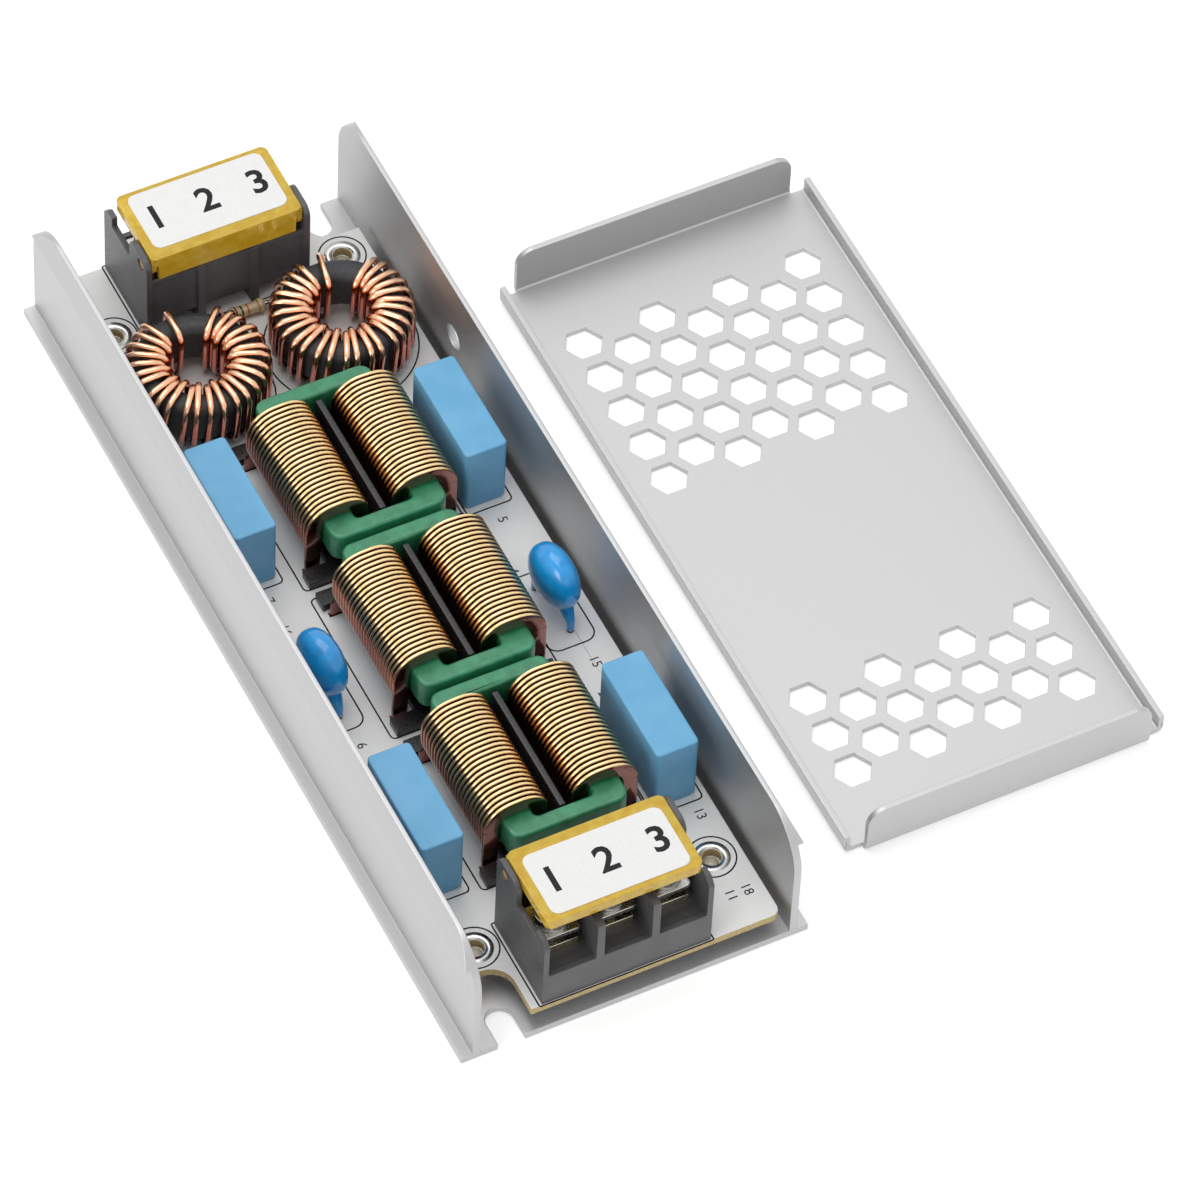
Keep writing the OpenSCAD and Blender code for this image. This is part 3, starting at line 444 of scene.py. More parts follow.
def pad_tree():
    """Sets a flat ring at each point that it is given."""
    tree, given = new_tree("screw_pad", {
        "Hole Radius": "Float", "Pad Radius": "Float", "Film": "Float", "Material": "Material"})
    middle_radius = add_node(
        tree, "ShaderNodeMath", {0: given["Hole Radius"], 1: given["Pad Radius"]}, operation="ADD")
    half = add_node(tree, "ShaderNodeMath", {0: middle_radius.outputs[0], 1: 0.5}, operation="MULTIPLY")
    width = add_node(
        tree, "ShaderNodeMath", {0: given["Pad Radius"], 1: given["Hole Radius"]}, operation="SUBTRACT")
    ring = add_node(tree, "GeometryNodeCurvePrimitiveCircle", {"Resolution": 40, "Radius": half.outputs[0]})
    film = add_node(tree, "GeometryNodeCurvePrimitiveQuadrilateral", {
        "Width": width.outputs[0], "Height": given["Film"]})
    pad = add_node(tree, "GeometryNodeCurveToMesh", {
        "Curve": ring.outputs["Curve"], "Profile Curve": film.outputs["Curve"]})
    placed = add_node(tree, "GeometryNodeInstanceOnPoints", {
        "Points": given["Geometry"], "Instance": pad.outputs["Mesh"]})
    end_tree(tree, placed.outputs["Instances"], given["Material"])
    return tree


def point_set(name, places):
    """A mesh of loose points."""
    mesh = bpy.data.meshes.new(name)
    mesh.from_pydata(places, [], [])
    return mesh


pad_height = board_top + 0.01 * mm
pad_points = point_set("pad_places", [(x, y, pad_height) for x, y in screw_hole_places])
pads = grow("screw_pads", pad_points, pad_tree(), {
    "Hole Radius": 1.7 * mm, "Pad Radius": 3.0 * mm, "Film": 0.05 * mm, "Material": bright_tin})
settle(pads, "root", "strip_tin")

# Soldering
# The strip tails and the leads of the chokes, capacitors and resistor are soldered under the board. Each
# joint runs up its wire in a hollow cone, and the joints differ a little in size.
film_lead_reach = 7.5 * mm
disc_turn = math.radians(8)
disc_lead_step = Vector((-math.sin(disc_turn), math.cos(disc_turn), 0)) * 5 * mm
strip_pitch = 9.5 * mm
strip_tail_reach = 69.35 * mm
coil_offset = 7.6 * mm
coil_loop_width = 8.9 * mm
coil_length = 22.56 * mm


def joint_tree():
    """Sets a hollow cone of solder under the board at each point."""
    tree, given = new_tree("solder_joint", {
        "Foot Radius": "Float", "Tip Radius": "Float", "Height": "Float", "Seed": "Int",
        "Material": "Material"})
    drop = add_node(tree, "ShaderNodeMath", {0: given["Height"], 1: -1}, operation="MULTIPLY")
    tip = add_node(tree, "ShaderNodeCombineXYZ", {"Z": drop.outputs[0]})
    axis = add_node(tree, "GeometryNodeCurvePrimitiveLine", {"End": tip.outputs["Vector"]})
    steps = add_node(tree, "GeometryNodeResampleCurve", {"Curve": axis.outputs["Curve"], "Count": 7})
    factor = add_node(tree, "GeometryNodeSplineParameter").outputs["Factor"]
    rest = add_node(tree, "ShaderNodeMath", {0: 1, 1: factor}, operation="SUBTRACT")
    hollow = add_node(tree, "ShaderNodeMath", {0: rest.outputs[0], 1: 2.2}, operation="POWER")
    radius = add_node(tree, "ShaderNodeMapRange", {
        "Value": hollow.outputs[0], "To Min": given["Tip Radius"], "To Max": given["Foot Radius"]})
    circle = add_node(tree, "GeometryNodeCurvePrimitiveCircle", {"Resolution": 14, "Radius": 1})
    cone = add_node(tree, "GeometryNodeCurveToMesh", {
        "Curve": steps.outputs["Curve"], "Profile Curve": circle.outputs["Curve"],
        "Scale": radius.outputs["Result"], "Fill Caps": True})
    vary = add_node(tree, "FunctionNodeRandomValue", {2: 0.88, 3: 1.12, "Seed": given["Seed"]})
    size = add_node(tree, "ShaderNodeCombineXYZ", {"X": vary.outputs[1], "Y": vary.outputs[1], "Z": 1})
    placed = add_node(tree, "GeometryNodeInstanceOnPoints", {
        "Points": given["Geometry"], "Instance": cone.outputs["Mesh"], "Scale": size.outputs["Vector"]})
    end_tree(tree, placed.outputs["Instances"], given["Material"])
    return tree


joint_places = []
for number in (1, 2, 3, 4):
    spot = middle(f"film_capacitor_{number}")[0]
    joint_places += [(spot.x, spot.y + s * film_lead_reach, board_under) for s in (-1, 1)]
for number in (1, 2):
    spot = middle(f"disc_capacitor_{number}")[0]
    joint_places += [Vector((spot.x, spot.y, board_under)) + s * disc_lead_step for s in (-1, 1)]
spot, size = middle("resistor")
joint_places += [(spot.x + s * (size.x / 2 - 0.4 * mm), spot.y, board_under) for s in (-1, 1)]
for end in ("output", "input"):
    spot = middle(end + "_strips")[0]
    tail_y = math.copysign(strip_tail_reach, spot.y)
    joint_places += [(spot.x + i * strip_pitch, tail_y, board_under) for i in (-1, 0, 1)]
for number in (1, 2, 3):
    spot = middle(f"choke_{number}_core")[0]
    side = coil_offset + coil_loop_width / 2
    joint_places += [
        (spot.x + sx * side, spot.y + sy * coil_length / 2, board_under) for sx in (-1, 1) for sy in (-1, 1)]
joints = grow("solder_joints", point_set("joint_places", joint_places), joint_tree(), {
    "Foot Radius": 1.25 * mm, "Tip Radius": 0.5 * mm, "Height": 1.05 * mm, "Seed": 4, "Material": bright_tin})
settle(joints, "root", "strip_tin")

# Terminal blocks
# Each is one moulding in black glass-filled polyester: three wire cells between walls, a shelf for the
# strips, and an ear at each end that holds the pins of the cover.
black_polyester = surface("moulded_black_polyester", "#515153", {"Roughness": 0.4, "Specular IOR Level": 0.6})
grain(black_polyester, 0.28 * mm, 0.01 * mm, gloss=(0.34, 0.48))
grain(black_polyester, 6 * mm, colours=("#4C4C4E", "#565658"))
for end in ("output", "input"):
    refinish(end + "_block", black_polyester, "root", "block_black", edge=0.12 * mm)

# Strips and clamps
# A tinned strip crosses each cell and its tail goes down through the board. A square nickel-plated washer
# and a cross-headed screw clamp the wire on it, and stand a little open.
tinned_strip = surface("tinned_brass_strip", "#DDD6BE", {"Metallic": 1, "Roughness": 0.28})
grain(tinned_strip, 0.5 * mm, 0.004 * mm, gloss=(0.2, 0.38))
nickel_plate = surface("nickel_plated_steel", "#C9C8C4", {"Metallic": 1, "Roughness": 0.24})
grain(nickel_plate, 0.4 * mm, 0.003 * mm, gloss=(0.18, 0.32))
for end in ("output", "input"):
    refinish(end + "_strips", tinned_strip, "root", "strip_tin", edge=0.12 * mm)
    refinish(end + "_washers", nickel_plate, "root", "screw_nickel", edge=0.14 * mm)
    refinish(end + "_screws", nickel_plate, "root", "screw_nickel", edge=0.14 * mm)

# Flip covers
# Clear amber polycarbonate, moulded in one with a skirt, lips and two pins, and snapped between the ears
# of the block. A matt white label with plain numbers is stuck on top.
amber_polycarbonate = surface("clear_amber_polycarbonate", "#F4D255", {
    "Roughness": 0.06, "IOR": 1.58, "Transmission Weight": 0.35})
grain(amber_polycarbonate, 1.6 * mm, 0.03 * mm, colours=("#F0C32A", "#FBD94E"))
label_paper = surface("matt_white_label_paper", "#F3F3F1", {"Roughness": 0.6, "Specular IOR Level": 0.3})
grain(label_paper, 0.3 * mm, 0.004 * mm, colours=("#F0F0EE", "#F6F6F4"))
digit_film = 0.04 * mm
digit_height = 6.8 * mm
for end in ("output", "input"):
    body = end + "_cover"
    refinish(end + "_flap", amber_polycarbonate, body, "flap_amber", edge=0.16 * mm, steps=3)
    refinish(end + "_label", label_paper, body, "label_white", edge=0.04 * mm, steps=1)
    spot, size = middle(end + "_label")
    digits = printed_number(
        end + "_label_numbers", "1   2   3", Vector((spot.x, spot.y, spot.z + size.z / 2)), digit_height,
        black_ink, digit_film, weight=0.14 * mm)
    settle(digits, body, "base_black")


# Ring coils
# An iron powder ring with a grey coating is wound by hand with one layer of thick enamelled copper wire.
# In the eye there is little room side by side, so every second turn stands back, and the first lies apart.
def ring_winding_tree():
    """Winds a round wire about a ring: a loop in radius and height, carried round the axis turn by turn."""
    tree, given = new_tree("ring_winding", {
        "Turns": "Float", "Points": "Int", "Outer Radius": "Float", "Eye Radius": "Float",
        "Step Back": "Float", "Height": "Float", "Bend": "Float", "First Angle": "Float",
        "Turn Angle": "Float", "Lone Angle": "Float", "Wire Radius": "Float", "Seed": "Float",
        "Material": "Material"})
    line = add_node(tree, "GeometryNodeCurvePrimitiveLine")
    steps = add_node(tree, "GeometryNodeResampleCurve", {
        "Curve": line.outputs["Curve"], "Count": given["Points"]})
    factor = add_node(tree, "GeometryNodeSplineParameter").outputs["Factor"]
    wound = add_node(tree, "ShaderNodeMath", {0: factor, 1: given["Turns"]}, operation="MULTIPLY").outputs[0]
    turn = add_node(tree, "ShaderNodeMath", {0: wound}, operation="FLOOR").outputs[0]
    share = add_node(tree, "ShaderNodeMath", {0: wound, 1: turn}, operation="SUBTRACT").outputs[0]
    odd = add_node(tree, "ShaderNodeMath", {0: turn, 1: 2}, operation="MODULO").outputs[0]
    layer = add_node(tree, "ShaderNodeMath", {0: odd, 1: given["Step Back"]}, operation="MULTIPLY").outputs[0]
    inner = add_node(tree, "ShaderNodeMath", {0: given["Eye Radius"], 1: layer}, operation="ADD").outputs[0]
    spots = []
    for number in (0, 1):
        step = add_node(tree, "ShaderNodeMath", {0: number, 1: given["Step Back"]}, operation="MULTIPLY")
        near = add_node(tree, "ShaderNodeMath", {0: given["Eye Radius"], 1: step.outputs[0]}, operation="ADD")
        width = add_node(
            tree, "ShaderNodeMath", {0: given["Outer Radius"], 1: near.outputs[0]}, operation="SUBTRACT")
        loop = add_node(tree, "GeometryNodeCurvePrimitiveQuadrilateral", {
            "Width": width.outputs[0], "Height": given["Height"]})
        soft = add_node(tree, "GeometryNodeFilletCurve", {
            "Curve": loop.outputs["Curve"], "Count": 8, "Radius": given["Bend"]}, mode="POLY")
        spot = add_node(tree, "GeometryNodeSampleCurve", {
            "Curves": soft.outputs["Curve"], "Factor": share}, mode="FACTOR")
        spots.append(spot.outputs["Position"])
    pick = add_node(tree, "ShaderNodeMix", {"Factor": odd, 4: spots[0], 5: spots[1]}, data_type="VECTOR")
    flat = add_node(tree, "ShaderNodeSeparateXYZ", {"Vector": pick.outputs[1]}).outputs
    centre = add_node(tree, "ShaderNodeMath", {
        0: given["Outer Radius"], 1: inner}, operation="ADD").outputs[0]
    radius = add_node(tree, "ShaderNodeMath", {0: centre, 1: 0.5, 2: flat["X"]}, operation="MULTIPLY_ADD")
    upright = add_node(tree, "ShaderNodeCombineXYZ", {"X": radius.outputs[0], "Z": flat["Y"]})
    hand = add_node(tree, "ShaderNodeMath", {0: wound, 1: given["Seed"]}, operation="ADD").outputs[0]
    sway = add_node(tree, "ShaderNodeTexNoise", {
        "W": hand, "Scale": 0.7, "Detail": 0}, noise_dimensions="1D").outputs["Fac"]
    sway_turns = add_node(tree, "ShaderNodeMapRange", {
        "Value": sway, "To Min": -0.22, "To Max": 0.22}).outputs["Result"]
    laid = add_node(tree, "ShaderNodeMath", {0: wound, 1: sway_turns}, operation="ADD").outputs[0]
    lone = add_node(tree, "ShaderNodeMapRange", {
        "Value": wound, "To Min": given["Lone Angle"], "To Max": 0}).outputs["Result"]
    start = add_node(tree, "ShaderNodeMath", {
        0: given["First Angle"], 1: lone}, operation="SUBTRACT").outputs[0]
    angle = add_node(tree, "ShaderNodeMath", {
        0: laid, 1: given["Turn Angle"], 2: start}, operation="MULTIPLY_ADD").outputs[0]
    carried = add_node(tree, "ShaderNodeVectorRotate", {
        "Vector": upright.outputs["Vector"], "Axis": (0, 0, 1), "Angle": angle}, rotation_type="AXIS_ANGLE")
    path = add_node(tree, "GeometryNodeSetPosition", {
        "Geometry": steps.outputs["Curve"], "Position": carried.outputs["Vector"]})
    wire = add_node(tree, "GeometryNodeJoinGeometry", {"Geometry": path.outputs["Geometry"]})
    tree.links.new(given["Geometry"], wire.inputs["Geometry"])
    section = add_node(tree, "GeometryNodeCurvePrimitiveCircle", {
        "Resolution": 10, "Radius": given["Wire Radius"]})
    swept = add_node(tree, "GeometryNodeCurveToMesh", {
        "Curve": wire.outputs["Geometry"], "Profile Curve": section.outputs["Curve"], "Fill Caps": True})
    end_tree(tree, swept.outputs["Mesh"], given["Material"])
    return tree


def bent_wire(points, steps=6):
    """A smooth line through a few points, as a list of close points."""
    ends = [points[0], *points, points[-1]]
    line = []
    for a, b, c, d in zip(ends, ends[1:], ends[2:], ends[3:]):
        for i in range(steps):
            t = i / steps
            square = 2 * a - 5 * b + 4 * c - d
            cube = 3 * b - a - 3 * c + d
            line.append(0.5 * (2 * b + (c - a) * t + square * t ** 2 + cube * t ** 3))
    return line + [points[-1]]


def about(radius, angle, height):
    """A point at a radius and an angle in degrees round an upright axis."""
    return Vector((radius * math.cos(math.radians(angle)), radius * math.sin(math.radians(angle)), height))


def enamel_with_painted_light(material, low, high, colours, wobble=0.3, painted_flank_shade=None):
    """Colours that change with the height, which are painted light: painted shade low down and a painted
    highlight high up; and a painted shade for the flanks, where the attribute flank is 1.
    """
    tree = material.node_tree
    place = add_node(tree, "ShaderNodeTexCoord").outputs["Object"]
    height = add_node(tree, "ShaderNodeSeparateXYZ", {"Vector": place}).outputs["Z"]
    share = add_node(
        tree, "ShaderNodeMapRange", {"Value": height, "From Min": low, "From Max": high}, clamp=False)
    noise = add_node(tree, "ShaderNodeTexNoise", {"Vector": place, "Scale": 1 / (2.5 * mm), "Detail": 2})
    drift = add_node(tree, "ShaderNodeMapRange", {
        "Value": noise.outputs["Fac"], "To Min": -wobble / 2, "To Max": wobble / 2})
    mixed = add_node(tree, "ShaderNodeMath", {0: share.outputs[0], 1: drift.outputs[0]}, operation="ADD")
    # The ramp paints shade low down and a highlight high up
    blend = add_node(tree, "ShaderNodeValToRGB", {"Fac": mixed.outputs[0]})
    blend.color_ramp.elements.new(0.5)
    for stop, colour in zip(blend.color_ramp.elements, colours):
        stop.color = linear(colour)
    shade = blend.outputs["Color"]
    # Painted shade on the flanks of each turn, where the turns face each other
    if painted_flank_shade:
        flank = add_node(tree, "ShaderNodeAttribute", attribute_name="flank").outputs["Fac"]
        crest = add_node(tree, "ShaderNodeMapRange", {"Value": flank, "From Min": 0.95, "From Max": 0.5})
        shade = add_node(
            tree, "ShaderNodeMix", {"Factor": crest.outputs["Result"], 6: linear(painted_flank_shade), 7: shade},
            data_type="RGBA").outputs[2]
    tree.links.new(shade, tree.nodes["Principled BSDF"].inputs["Base Color"])


# Enamelled round copper: bright salmon metal under a clear coat. Its colour changes with height as painted
# light: painted shade, deep red, low down, where the turns face each other, and a painted highlight, pale
# salmon, at the top.
round_copper = surface("enamelled_round_copper", "#D98A5C", {
    "Metallic": 1, "Roughness": 0.2, "Coat Weight": 1, "Coat Roughness": 0.05, "Coat IOR": 2.2})
enamel_with_painted_light(round_copper, board_top + 1 * mm, board_top + 11 * mm, ("#5E1C12", "#D2501C", "#F2B788"))
grain(round_copper, 1.5 * mm, 0.008 * mm)
grey_coating = surface("grey_powder_coating", "#303134", {"Roughness": 0.55})
grain(grey_coating, 0.5 * mm, 0.03 * mm, colours=("#2A2B2E", "#38393C"))

ring_turns = 26.72
ring_whole_turns = 27
ring_steps_a_turn = 26
ring_bare_angle = 46
ring_lone_angle = 14
ring_turn_angle = (360 - ring_bare_angle) / ring_whole_turns
ring_wire_radius = 0.55 * mm
ring_outer_radius = 11.5 * mm
ring_foot_radius = 13.4 * mm
ring_half_height = 4.9 * mm
ring_bend = 1.9 * mm
lead_end = board_under - 1.2 * mm
ring_tree = ring_winding_tree()
for number, bare_direction in ((1, 82), (2, 72)):
    refinish(f"toroid_{number}_core", grey_coating, "root", "toroid_core", edge=0.1 * mm)
    spot, size = middle(f"toroid_{number}_core")
    start = bare_direction + ring_bare_angle / 2
    first = start - ring_lone_angle
    last = start + ring_turns * ring_turn_angle
    way_out = bare_direction + 345
    knee = board_top + 1.2 * mm - spot.z
    foot = lead_end - spot.z
    lead_in = bent_wire([
        about(ring_foot_radius, first, foot), about(ring_foot_radius, first, knee),
        about(ring_outer_radius + 0.9 * mm, first, 0),
        about(ring_outer_radius + 0.1 * mm, first, ring_half_height - 2.6 * mm),
        about(ring_outer_radius, first, ring_half_height - ring_bend)])
    lead_out = bent_wire([
        about(ring_outer_radius - ring_bend, last, -ring_half_height),
        about(ring_outer_radius, last + 3, -ring_half_height + 0.1 * mm),
        about(ring_foot_radius, way_out, knee), about(ring_foot_radius, way_out, foot)])
    leads = line_set("ring_leads", [(lead_in, False), (lead_out, False)])
    winding = grow(f"toroid_{number}_wire", leads, ring_tree, {
        "Turns": ring_turns, "Points": ring_whole_turns * ring_steps_a_turn,
        "Outer Radius": ring_outer_radius, "Eye Radius": 4.75 * mm, "Step Back": 0.66 * mm,
        "Height": 2 * ring_half_height, "Bend": ring_bend,
        "First Angle": math.radians(start), "Turn Angle": math.radians(ring_turn_angle),
        "Lone Angle": math.radians(ring_lone_angle), "Wire Radius": ring_wire_radius, "Seed": 11.0 * number,
        "Material": round_copper})
    winding.data.transform(Matrix.Translation(spot))
    settle(winding, "root", "round_copper", f"toroid_{number}_winding")


# Chokes
# A closed green-coated ferrite frame lies on a black moulded base. On each of its two legs sits a coil of
# flat copper wire, wound on edge, and a thin plate of the base keeps the two coils apart.
def flat_coil_tree():
    """Winds a flat wire on edge: a rounded loop carried along the axis, with its leads given as lines."""
    tree, given = new_tree("flat_wire_coil", {
        "Turns": "Float", "Points": "Int", "Length": "Float", "Loop Width": "Float", "Loop Height": "Float",
        "Corner": "Float", "Wire Width": "Float", "Wire Thickness": "Float", "Wire Edge": "Float",
        "Material": "Material"})
    loop = add_node(tree, "GeometryNodeCurvePrimitiveQuadrilateral", {
        "Width": given["Loop Width"], "Height": given["Loop Height"]})
    soft = add_node(tree, "GeometryNodeFilletCurve", {
        "Curve": loop.outputs["Curve"], "Count": 12, "Radius": given["Corner"]}, mode="POLY")
    line = add_node(tree, "GeometryNodeCurvePrimitiveLine")
    steps = add_node(tree, "GeometryNodeResampleCurve", {
        "Curve": line.outputs["Curve"], "Count": given["Points"]})
    factor = add_node(tree, "GeometryNodeSplineParameter").outputs["Factor"]
    wound = add_node(tree, "ShaderNodeMath", {0: factor, 1: given["Turns"]}, operation="MULTIPLY").outputs[0]
    share = add_node(tree, "ShaderNodeMath", {0: wound}, operation="FRACT").outputs[0]
    spot = add_node(
        tree, "GeometryNodeSampleCurve", {"Curves": soft.outputs["Curve"], "Factor": share}, mode="FACTOR")
    from_middle = add_node(tree, "ShaderNodeMath", {0: factor, 1: 0.5}, operation="SUBTRACT").outputs[0]
    along = add_node(tree, "ShaderNodeMath", {
        0: from_middle, 1: given["Length"]}, operation="MULTIPLY").outputs[0]
    advance = add_node(tree, "ShaderNodeCombineXYZ", {"Z": along})
    place = add_node(tree, "ShaderNodeVectorMath", {
        0: spot.outputs["Position"], 1: advance.outputs["Vector"]}, operation="ADD")
    path = add_node(tree, "GeometryNodeSetPosition", {
        "Geometry": steps.outputs["Curve"], "Position": place.outputs["Vector"]})
    wire = add_node(tree, "GeometryNodeJoinGeometry", {"Geometry": path.outputs["Geometry"]})
    tree.links.new(given["Geometry"], wire.inputs["Geometry"])
    upright = add_node(tree, "GeometryNodeSetCurveNormal", {"Curve": wire.outputs["Geometry"]}, mode="Z_UP")
    section = add_node(tree, "GeometryNodeCurvePrimitiveQuadrilateral", {
        "Width": given["Wire Width"], "Height": given["Wire Thickness"]})
    rolled = add_node(tree, "GeometryNodeFilletCurve", {
        "Curve": section.outputs["Curve"], "Count": 3, "Radius": given["Wire Edge"]}, mode="POLY")
    # Each point of the section gets its share of the half thickness as the attribute flank, which the
    # material uses to paint shade on the flanks
    section_spot = add_node(tree, "GeometryNodeInputPosition").outputs["Position"]
    across = add_node(tree, "ShaderNodeSeparateXYZ", {"Vector": section_spot}).outputs["Y"]
    away = add_node(tree, "ShaderNodeMath", {0: across}, operation="ABSOLUTE").outputs[0]
    half = add_node(tree, "ShaderNodeMath", {
        0: given["Wire Thickness"], 1: 0.5}, operation="MULTIPLY").outputs[0]
    flank = add_node(tree, "ShaderNodeMath", {0: away, 1: half}, operation="DIVIDE").outputs[0]
    marked = add_node(
        tree, "GeometryNodeStoreNamedAttribute",
        {"Geometry": rolled.outputs["Curve"], "Name": "flank", "Value": flank},
        data_type="FLOAT", domain="POINT")
    swept = add_node(tree, "GeometryNodeCurveToMesh", {
        "Curve": upright.outputs["Curve"], "Profile Curve": marked.outputs["Geometry"], "Fill Caps": True})
    end_tree(tree, swept.outputs["Mesh"], given["Material"])
    return tree


# Enamelled flat copper: yellower than the round wire, because its enamel is amber. Painted shade makes it
# dark red low down and on the flanks of the turns, and a painted highlight makes it pale cream at the top.
flat_copper = surface("enamelled_flat_copper", "#DFA24A", {
    "Metallic": 1, "Roughness": 0.2, "Coat Weight": 1, "Coat Roughness": 0.05, "Coat IOR": 1.9})
enamel_with_painted_light(
    flat_copper, board_top + 5 * mm, board_top + 13 * mm, ("#501610", "#D46A20", "#FCDC96"), 0.2, "#8A3212")
# Epoxy on ferrite: thick, glossy and softly wavy.
green_epoxy = surface("green_epoxy_coated_ferrite", "#369468", {
    "Roughness": 0.34, "Coat Weight": 0.35, "Coat Roughness": 0.12})
grain(green_epoxy, 1.8 * mm, 0.05 * mm, colours=("#2A8059", "#38946A"))
black_nylon = surface("moulded_black_nylon", "#242426", {"Roughness": 0.3, "Specular IOR Level": 0.55})
grain(black_nylon, 0.4 * mm, 0.012 * mm, gloss=(0.22, 0.4))

coil_turns = 23.75
coil_whole_turns = 24
coil_steps_a_turn = 40
coil_loop_height = 9.6 * mm
coil_corner = 3.6 * mm
coil_tree = flat_coil_tree()
for number in (1, 2, 3):
    choke = f"choke_{number}"
    refinish(choke + "_core", green_epoxy, "root", "core_green", edge=0.6 * mm, steps=3)
    refinish(choke + "_base", black_nylon, "root", "base_black", edge=0.18 * mm)
    core_middle = middle(choke + "_core")[0]
    foot = lead_end - core_middle.z
    outer = coil_loop_width / 2
    low = -coil_loop_height / 2
    for side, hand in (("left", -1), ("right", 1)):
        coil_middle = core_middle + Vector((hand * coil_offset, 0, 0))
        near_lead = [(outer, foot, -coil_length / 2), (outer, -low - coil_corner, -coil_length / 2)]
        far_lead = bent_wire([
            Vector((outer - coil_corner - 0.6 * mm, low, coil_length / 2)),
            Vector((outer - coil_corner, low, coil_length / 2)),
            Vector((outer - 0.5 * mm, low - 0.55 * mm, coil_length / 2)),
            Vector((outer, low - 1.7 * mm, coil_length / 2)), Vector((outer, foot, coil_length / 2))], 5)
        leads = line_set("coil_leads", [(near_lead, False), (far_lead, False)])
        coil = grow(f"{choke}_coil_{side}_wire", leads, coil_tree, {
            "Turns": coil_turns, "Points": coil_whole_turns * coil_steps_a_turn, "Length": coil_length,
            "Loop Width": coil_loop_width, "Loop Height": coil_loop_height, "Corner": coil_corner,
            "Wire Width": 2.8 * mm, "Wire Thickness": 0.68 * mm, "Wire Edge": 0.33 * mm,
            "Material": flat_copper})
        # The tree winds about Z, and the coil lies along Y, so Y and Z are swapped and one hand is mirrored
        lay = Matrix(((hand, 0, 0, 0), (0, 0, 1, 0), (0, 1, 0, 0), (0, 0, 0, 1)))
        coil.data.transform(Matrix.Translation(coil_middle) @ lay)
        if lay.determinant() < 0:
            coil.data.flip_normals()
        settle(coil, "root", "flat_copper", f"{choke}_coil_{side}")

# Boxed film capacitors
# A light blue flame-proof moulded box, filled with resin from below. It stands on two small feet beside
# its leads.
blue_box = surface("moulded_blue_polyester_box", "#6FB2DC", {"Roughness": 0.42, "Specular IOR Level": 0.45})
grain(blue_box, 0.35 * mm, 0.008 * mm, gloss=(0.38, 0.5))
grain(blue_box, 8 * mm, colours=("#69AED8", "#76B7E1"))
for number in (1, 2, 3, 4):
    refinish(f"film_capacitor_{number}", blue_box, "root", "film_blue", edge=0.35 * mm, steps=3)


# Disc capacitors
# A ceramic disc dipped in glossy blue coating, which is thicker at the rim's foot and runs a little way
# down both leads.
blue_dip = surface("dipped_blue_coating", "#0A98E4", {
    "Roughness": 0.22, "Coat Weight": 0.6, "Coat Roughness": 0.06})
grain(blue_dip, 2.2 * mm, 0.08 * mm, colours=("#0492DE", "#12A2EE"))
tinned_wire = surface("tinned_copper_wire", "#CFCFCB", {"Metallic": 1, "Roughness": 0.25})
grain(tinned_wire, 0.3 * mm, 0.002 * mm)


def swept_tube(name, line, radii, material, sides=14):
    """A closed round tube along a line of points, with a radius at each point."""
    curve = bpy.data.curves.new(name, "CURVE")
    curve.dimensions = "3D"
    curve.bevel_depth = 1
    curve.bevel_resolution = sides // 2 - 2
    curve.use_fill_caps = True
    path = curve.splines.new("POLY")
    path.points.add(len(line) - 1)
    for spot, point, radius in zip(path.points, line, radii):
        spot.co = (*point, 1)
        spot.radius = radius
    piece = bpy.data.objects.new(name, curve)
    scene.collection.objects.link(piece)
    piece = as_plain_mesh(piece)
    for face in piece.data.polygons:
        face.use_smooth = True
    piece.data.materials.clear()
    piece.data.materials.append(material)
    return piece


def joined(name, pieces):
    """Joins meshes into one object."""
    form = bmesh.new()
    materials = []
    for piece in pieces:
        start = len(form.faces)
        form.from_mesh(piece.data)
        form.faces.ensure_lookup_table()
        own = list(piece.data.materials)
        for face in form.faces[start:]:
            material = own[face.material_index]
            if material not in materials:
                materials.append(material)
            face.material_index = materials.index(material)
        bpy.data.objects.remove(piece)
    mesh = bpy.data.meshes.new(name)
    form.to_mesh(mesh)
    form.free()
    for material in materials:
        mesh.materials.append(material)
    whole = bpy.data.objects.new(name, mesh)
    scene.collection.objects.link(whole)
    return whole


def dipped_disc(name, radius, thickness):
    """A lens-like round body on edge, fuller towards its foot."""
    form = bmesh.new()
    bmesh.ops.create_uvsphere(form, u_segments=40, v_segments=28, radius=1)
    for point in form.verts:
        x, y, z = point.co
        flat = math.copysign(abs(x) ** 0.8, x)
        foot = 1 + 0.05 * max(0, -z)
        point.co = Vector((flat * thickness / 2, y * radius, z * radius * foot))
    for face in form.faces:
        face.smooth = True
    mesh = bpy.data.meshes.new(name)
    form.to_mesh(mesh)
    form.free()
    mesh.materials.append(blue_dip)
    piece = bpy.data.objects.new(name, mesh)
    scene.collection.objects.link(piece)
    return piece


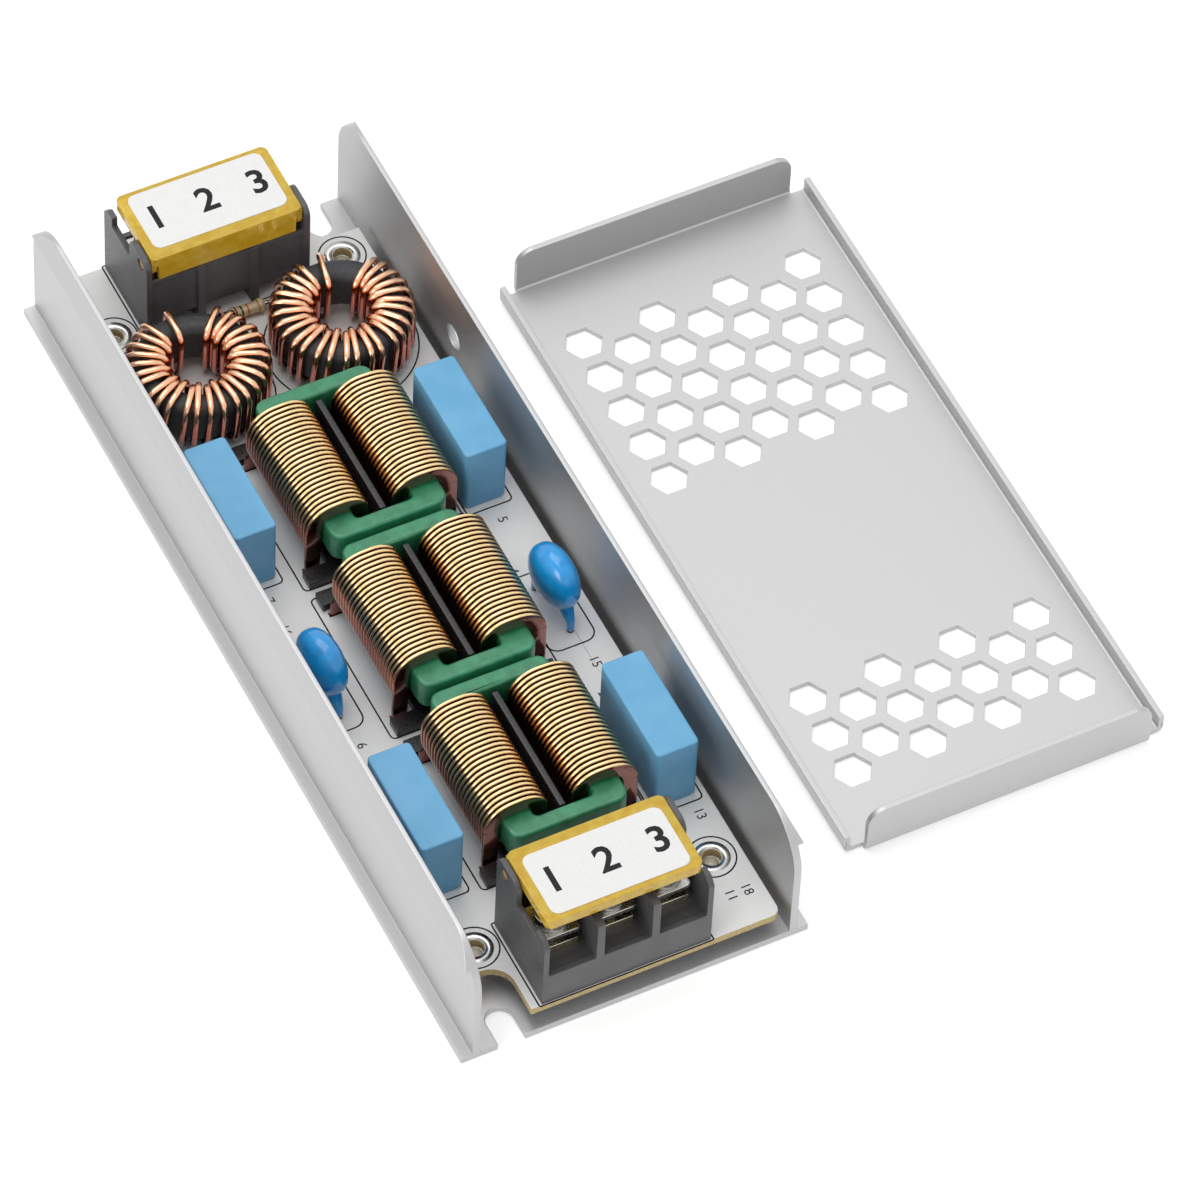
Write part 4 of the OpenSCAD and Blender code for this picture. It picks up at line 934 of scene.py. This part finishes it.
disc_radius = 5.7 * mm
disc_thickness = 6 * mm
lead_radius = 0.4 * mm
coat_reach = 8.5 * mm
for number in (1, 2):
    node = f"disc_capacitor_{number}"
    low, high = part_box(node)
    centre = Vector(((low.x + high.x) / 2, (low.y + high.y) / 2, high.z - disc_radius))
    reach = disc_lead_step.length
    pieces = [dipped_disc(node + "_body", disc_radius, disc_thickness)]
    for s in (-1, 1):
        wire = bent_wire([
            Vector((0, s * 2.4 * mm, -2.6 * mm)), Vector((0, s * 4.1 * mm, -5.2 * mm)),
            Vector((0, s * reach, -7.2 * mm)), Vector((0, s * reach, lead_end - centre.z))], 8)
        pieces.append(swept_tube("lead", wire, [lead_radius] * len(wire), tinned_wire))
        coat = [point for point in wire if point.z > -coat_reach]
        sizes = [(1.7 - 1.1 * (i / (len(coat) - 1)) ** 0.7) * mm for i in range(len(coat))]
        pieces.append(swept_tube("coat", coat, sizes, blue_dip))
    disc = joined(node + "_dipped", pieces)
    disc.data.transform(Matrix.Translation(centre) @ Matrix.Rotation(disc_turn, 4, "Z"))
    settle(disc, "root", "disc_blue", node)

# Resistor
# A small film resistor across the board: a lacquered ceramic rod that swells over its two pressed end
# caps, with painted value bands and tinned leads bent down.
tan_lacquer = surface("tan_resistor_lacquer", "#D9C49A", {
    "Roughness": 0.35, "Coat Weight": 0.4, "Coat Roughness": 0.1})
grain(tan_lacquer, 1.2 * mm, 0.02 * mm, colours=("#D2BC90", "#E0CCA6"))
low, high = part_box("resistor")
resistor_middle = Vector(((low.x + high.x) / 2, (low.y + high.y) / 2, high.z - 1.25 * mm))
rod_length = 6.6 * mm
rod_steps = 28
value_bands = ((-0.62, "#7A3B1C"), (-0.3, "#1A1A1A"), (0.02, "#C8702A"), (0.58, "#B8922E"))
band_half_width = 0.05
band_film = 0.03 * mm


def rod_radius(share):
    """Radius of the rod at a share of its half length, with a swell over each end cap."""
    return (0.95 + 0.3 * math.exp(-((abs(share) - 0.74) / 0.2) ** 2)) * mm


rod_line = []
rod_radii = []
for i in range(rod_steps + 1):
    share = 2 * i / rod_steps - 1
    close = math.sqrt(max(0.02, 1 - max(0, (abs(share) - 0.8) / 0.2) ** 2))
    rod_line.append(resistor_middle + Vector((share * rod_length / 2, 0, 0)))
    rod_radii.append(rod_radius(share) * close)
pieces = [swept_tube("rod", rod_line, rod_radii, tan_lacquer, 20)]
for band, colour in value_bands:
    paint = surface("band_paint", colour, {"Roughness": 0.35, "Coat Weight": 0.3})
    sides = [band + s * band_half_width for s in (-1, 1)]
    ends = [resistor_middle + Vector((side * rod_length / 2, 0, 0)) for side in sides]
    pieces.append(swept_tube("band", ends, [rod_radius(side) + band_film for side in sides], paint, 20))
for s in (-1, 1):
    bend_x = s * (high.x - low.x - 0.8 * mm) / 2
    wire = bent_wire([
        resistor_middle + Vector((s * 3 * mm, 0, 0)), resistor_middle + Vector((bend_x - s * 0.9 * mm, 0, 0)),
        resistor_middle + Vector((bend_x - s * 0.2 * mm, 0, -0.25 * mm)),
        resistor_middle + Vector((bend_x, 0, -1.0 * mm)),
        Vector((resistor_middle.x + bend_x, resistor_middle.y, lead_end))], 5)
    pieces.append(swept_tube("lead", wire, [lead_radius] * len(wire), tinned_wire))
settle(joined("resistor_banded", pieces), "root", "resistor_tan", "resistor")

# Lid
# One sheet of etched aluminium 1 mm thick, punched with two groups of six-sided vents and folded: a low
# lip along each side and a deeper flange at each end. It lies upside down beside the tray.
sheet_aluminium = surface("etched_sheet_aluminium", "#BFBFBF", {"Metallic": 1, "Roughness": 0.5})
grain(sheet_aluminium, 0.35 * mm, 0.003 * mm, gloss=(0.46, 0.56))
refinish("vent_cover", sheet_aluminium, "root", "lid_aluminium", edge=0.1 * mm)
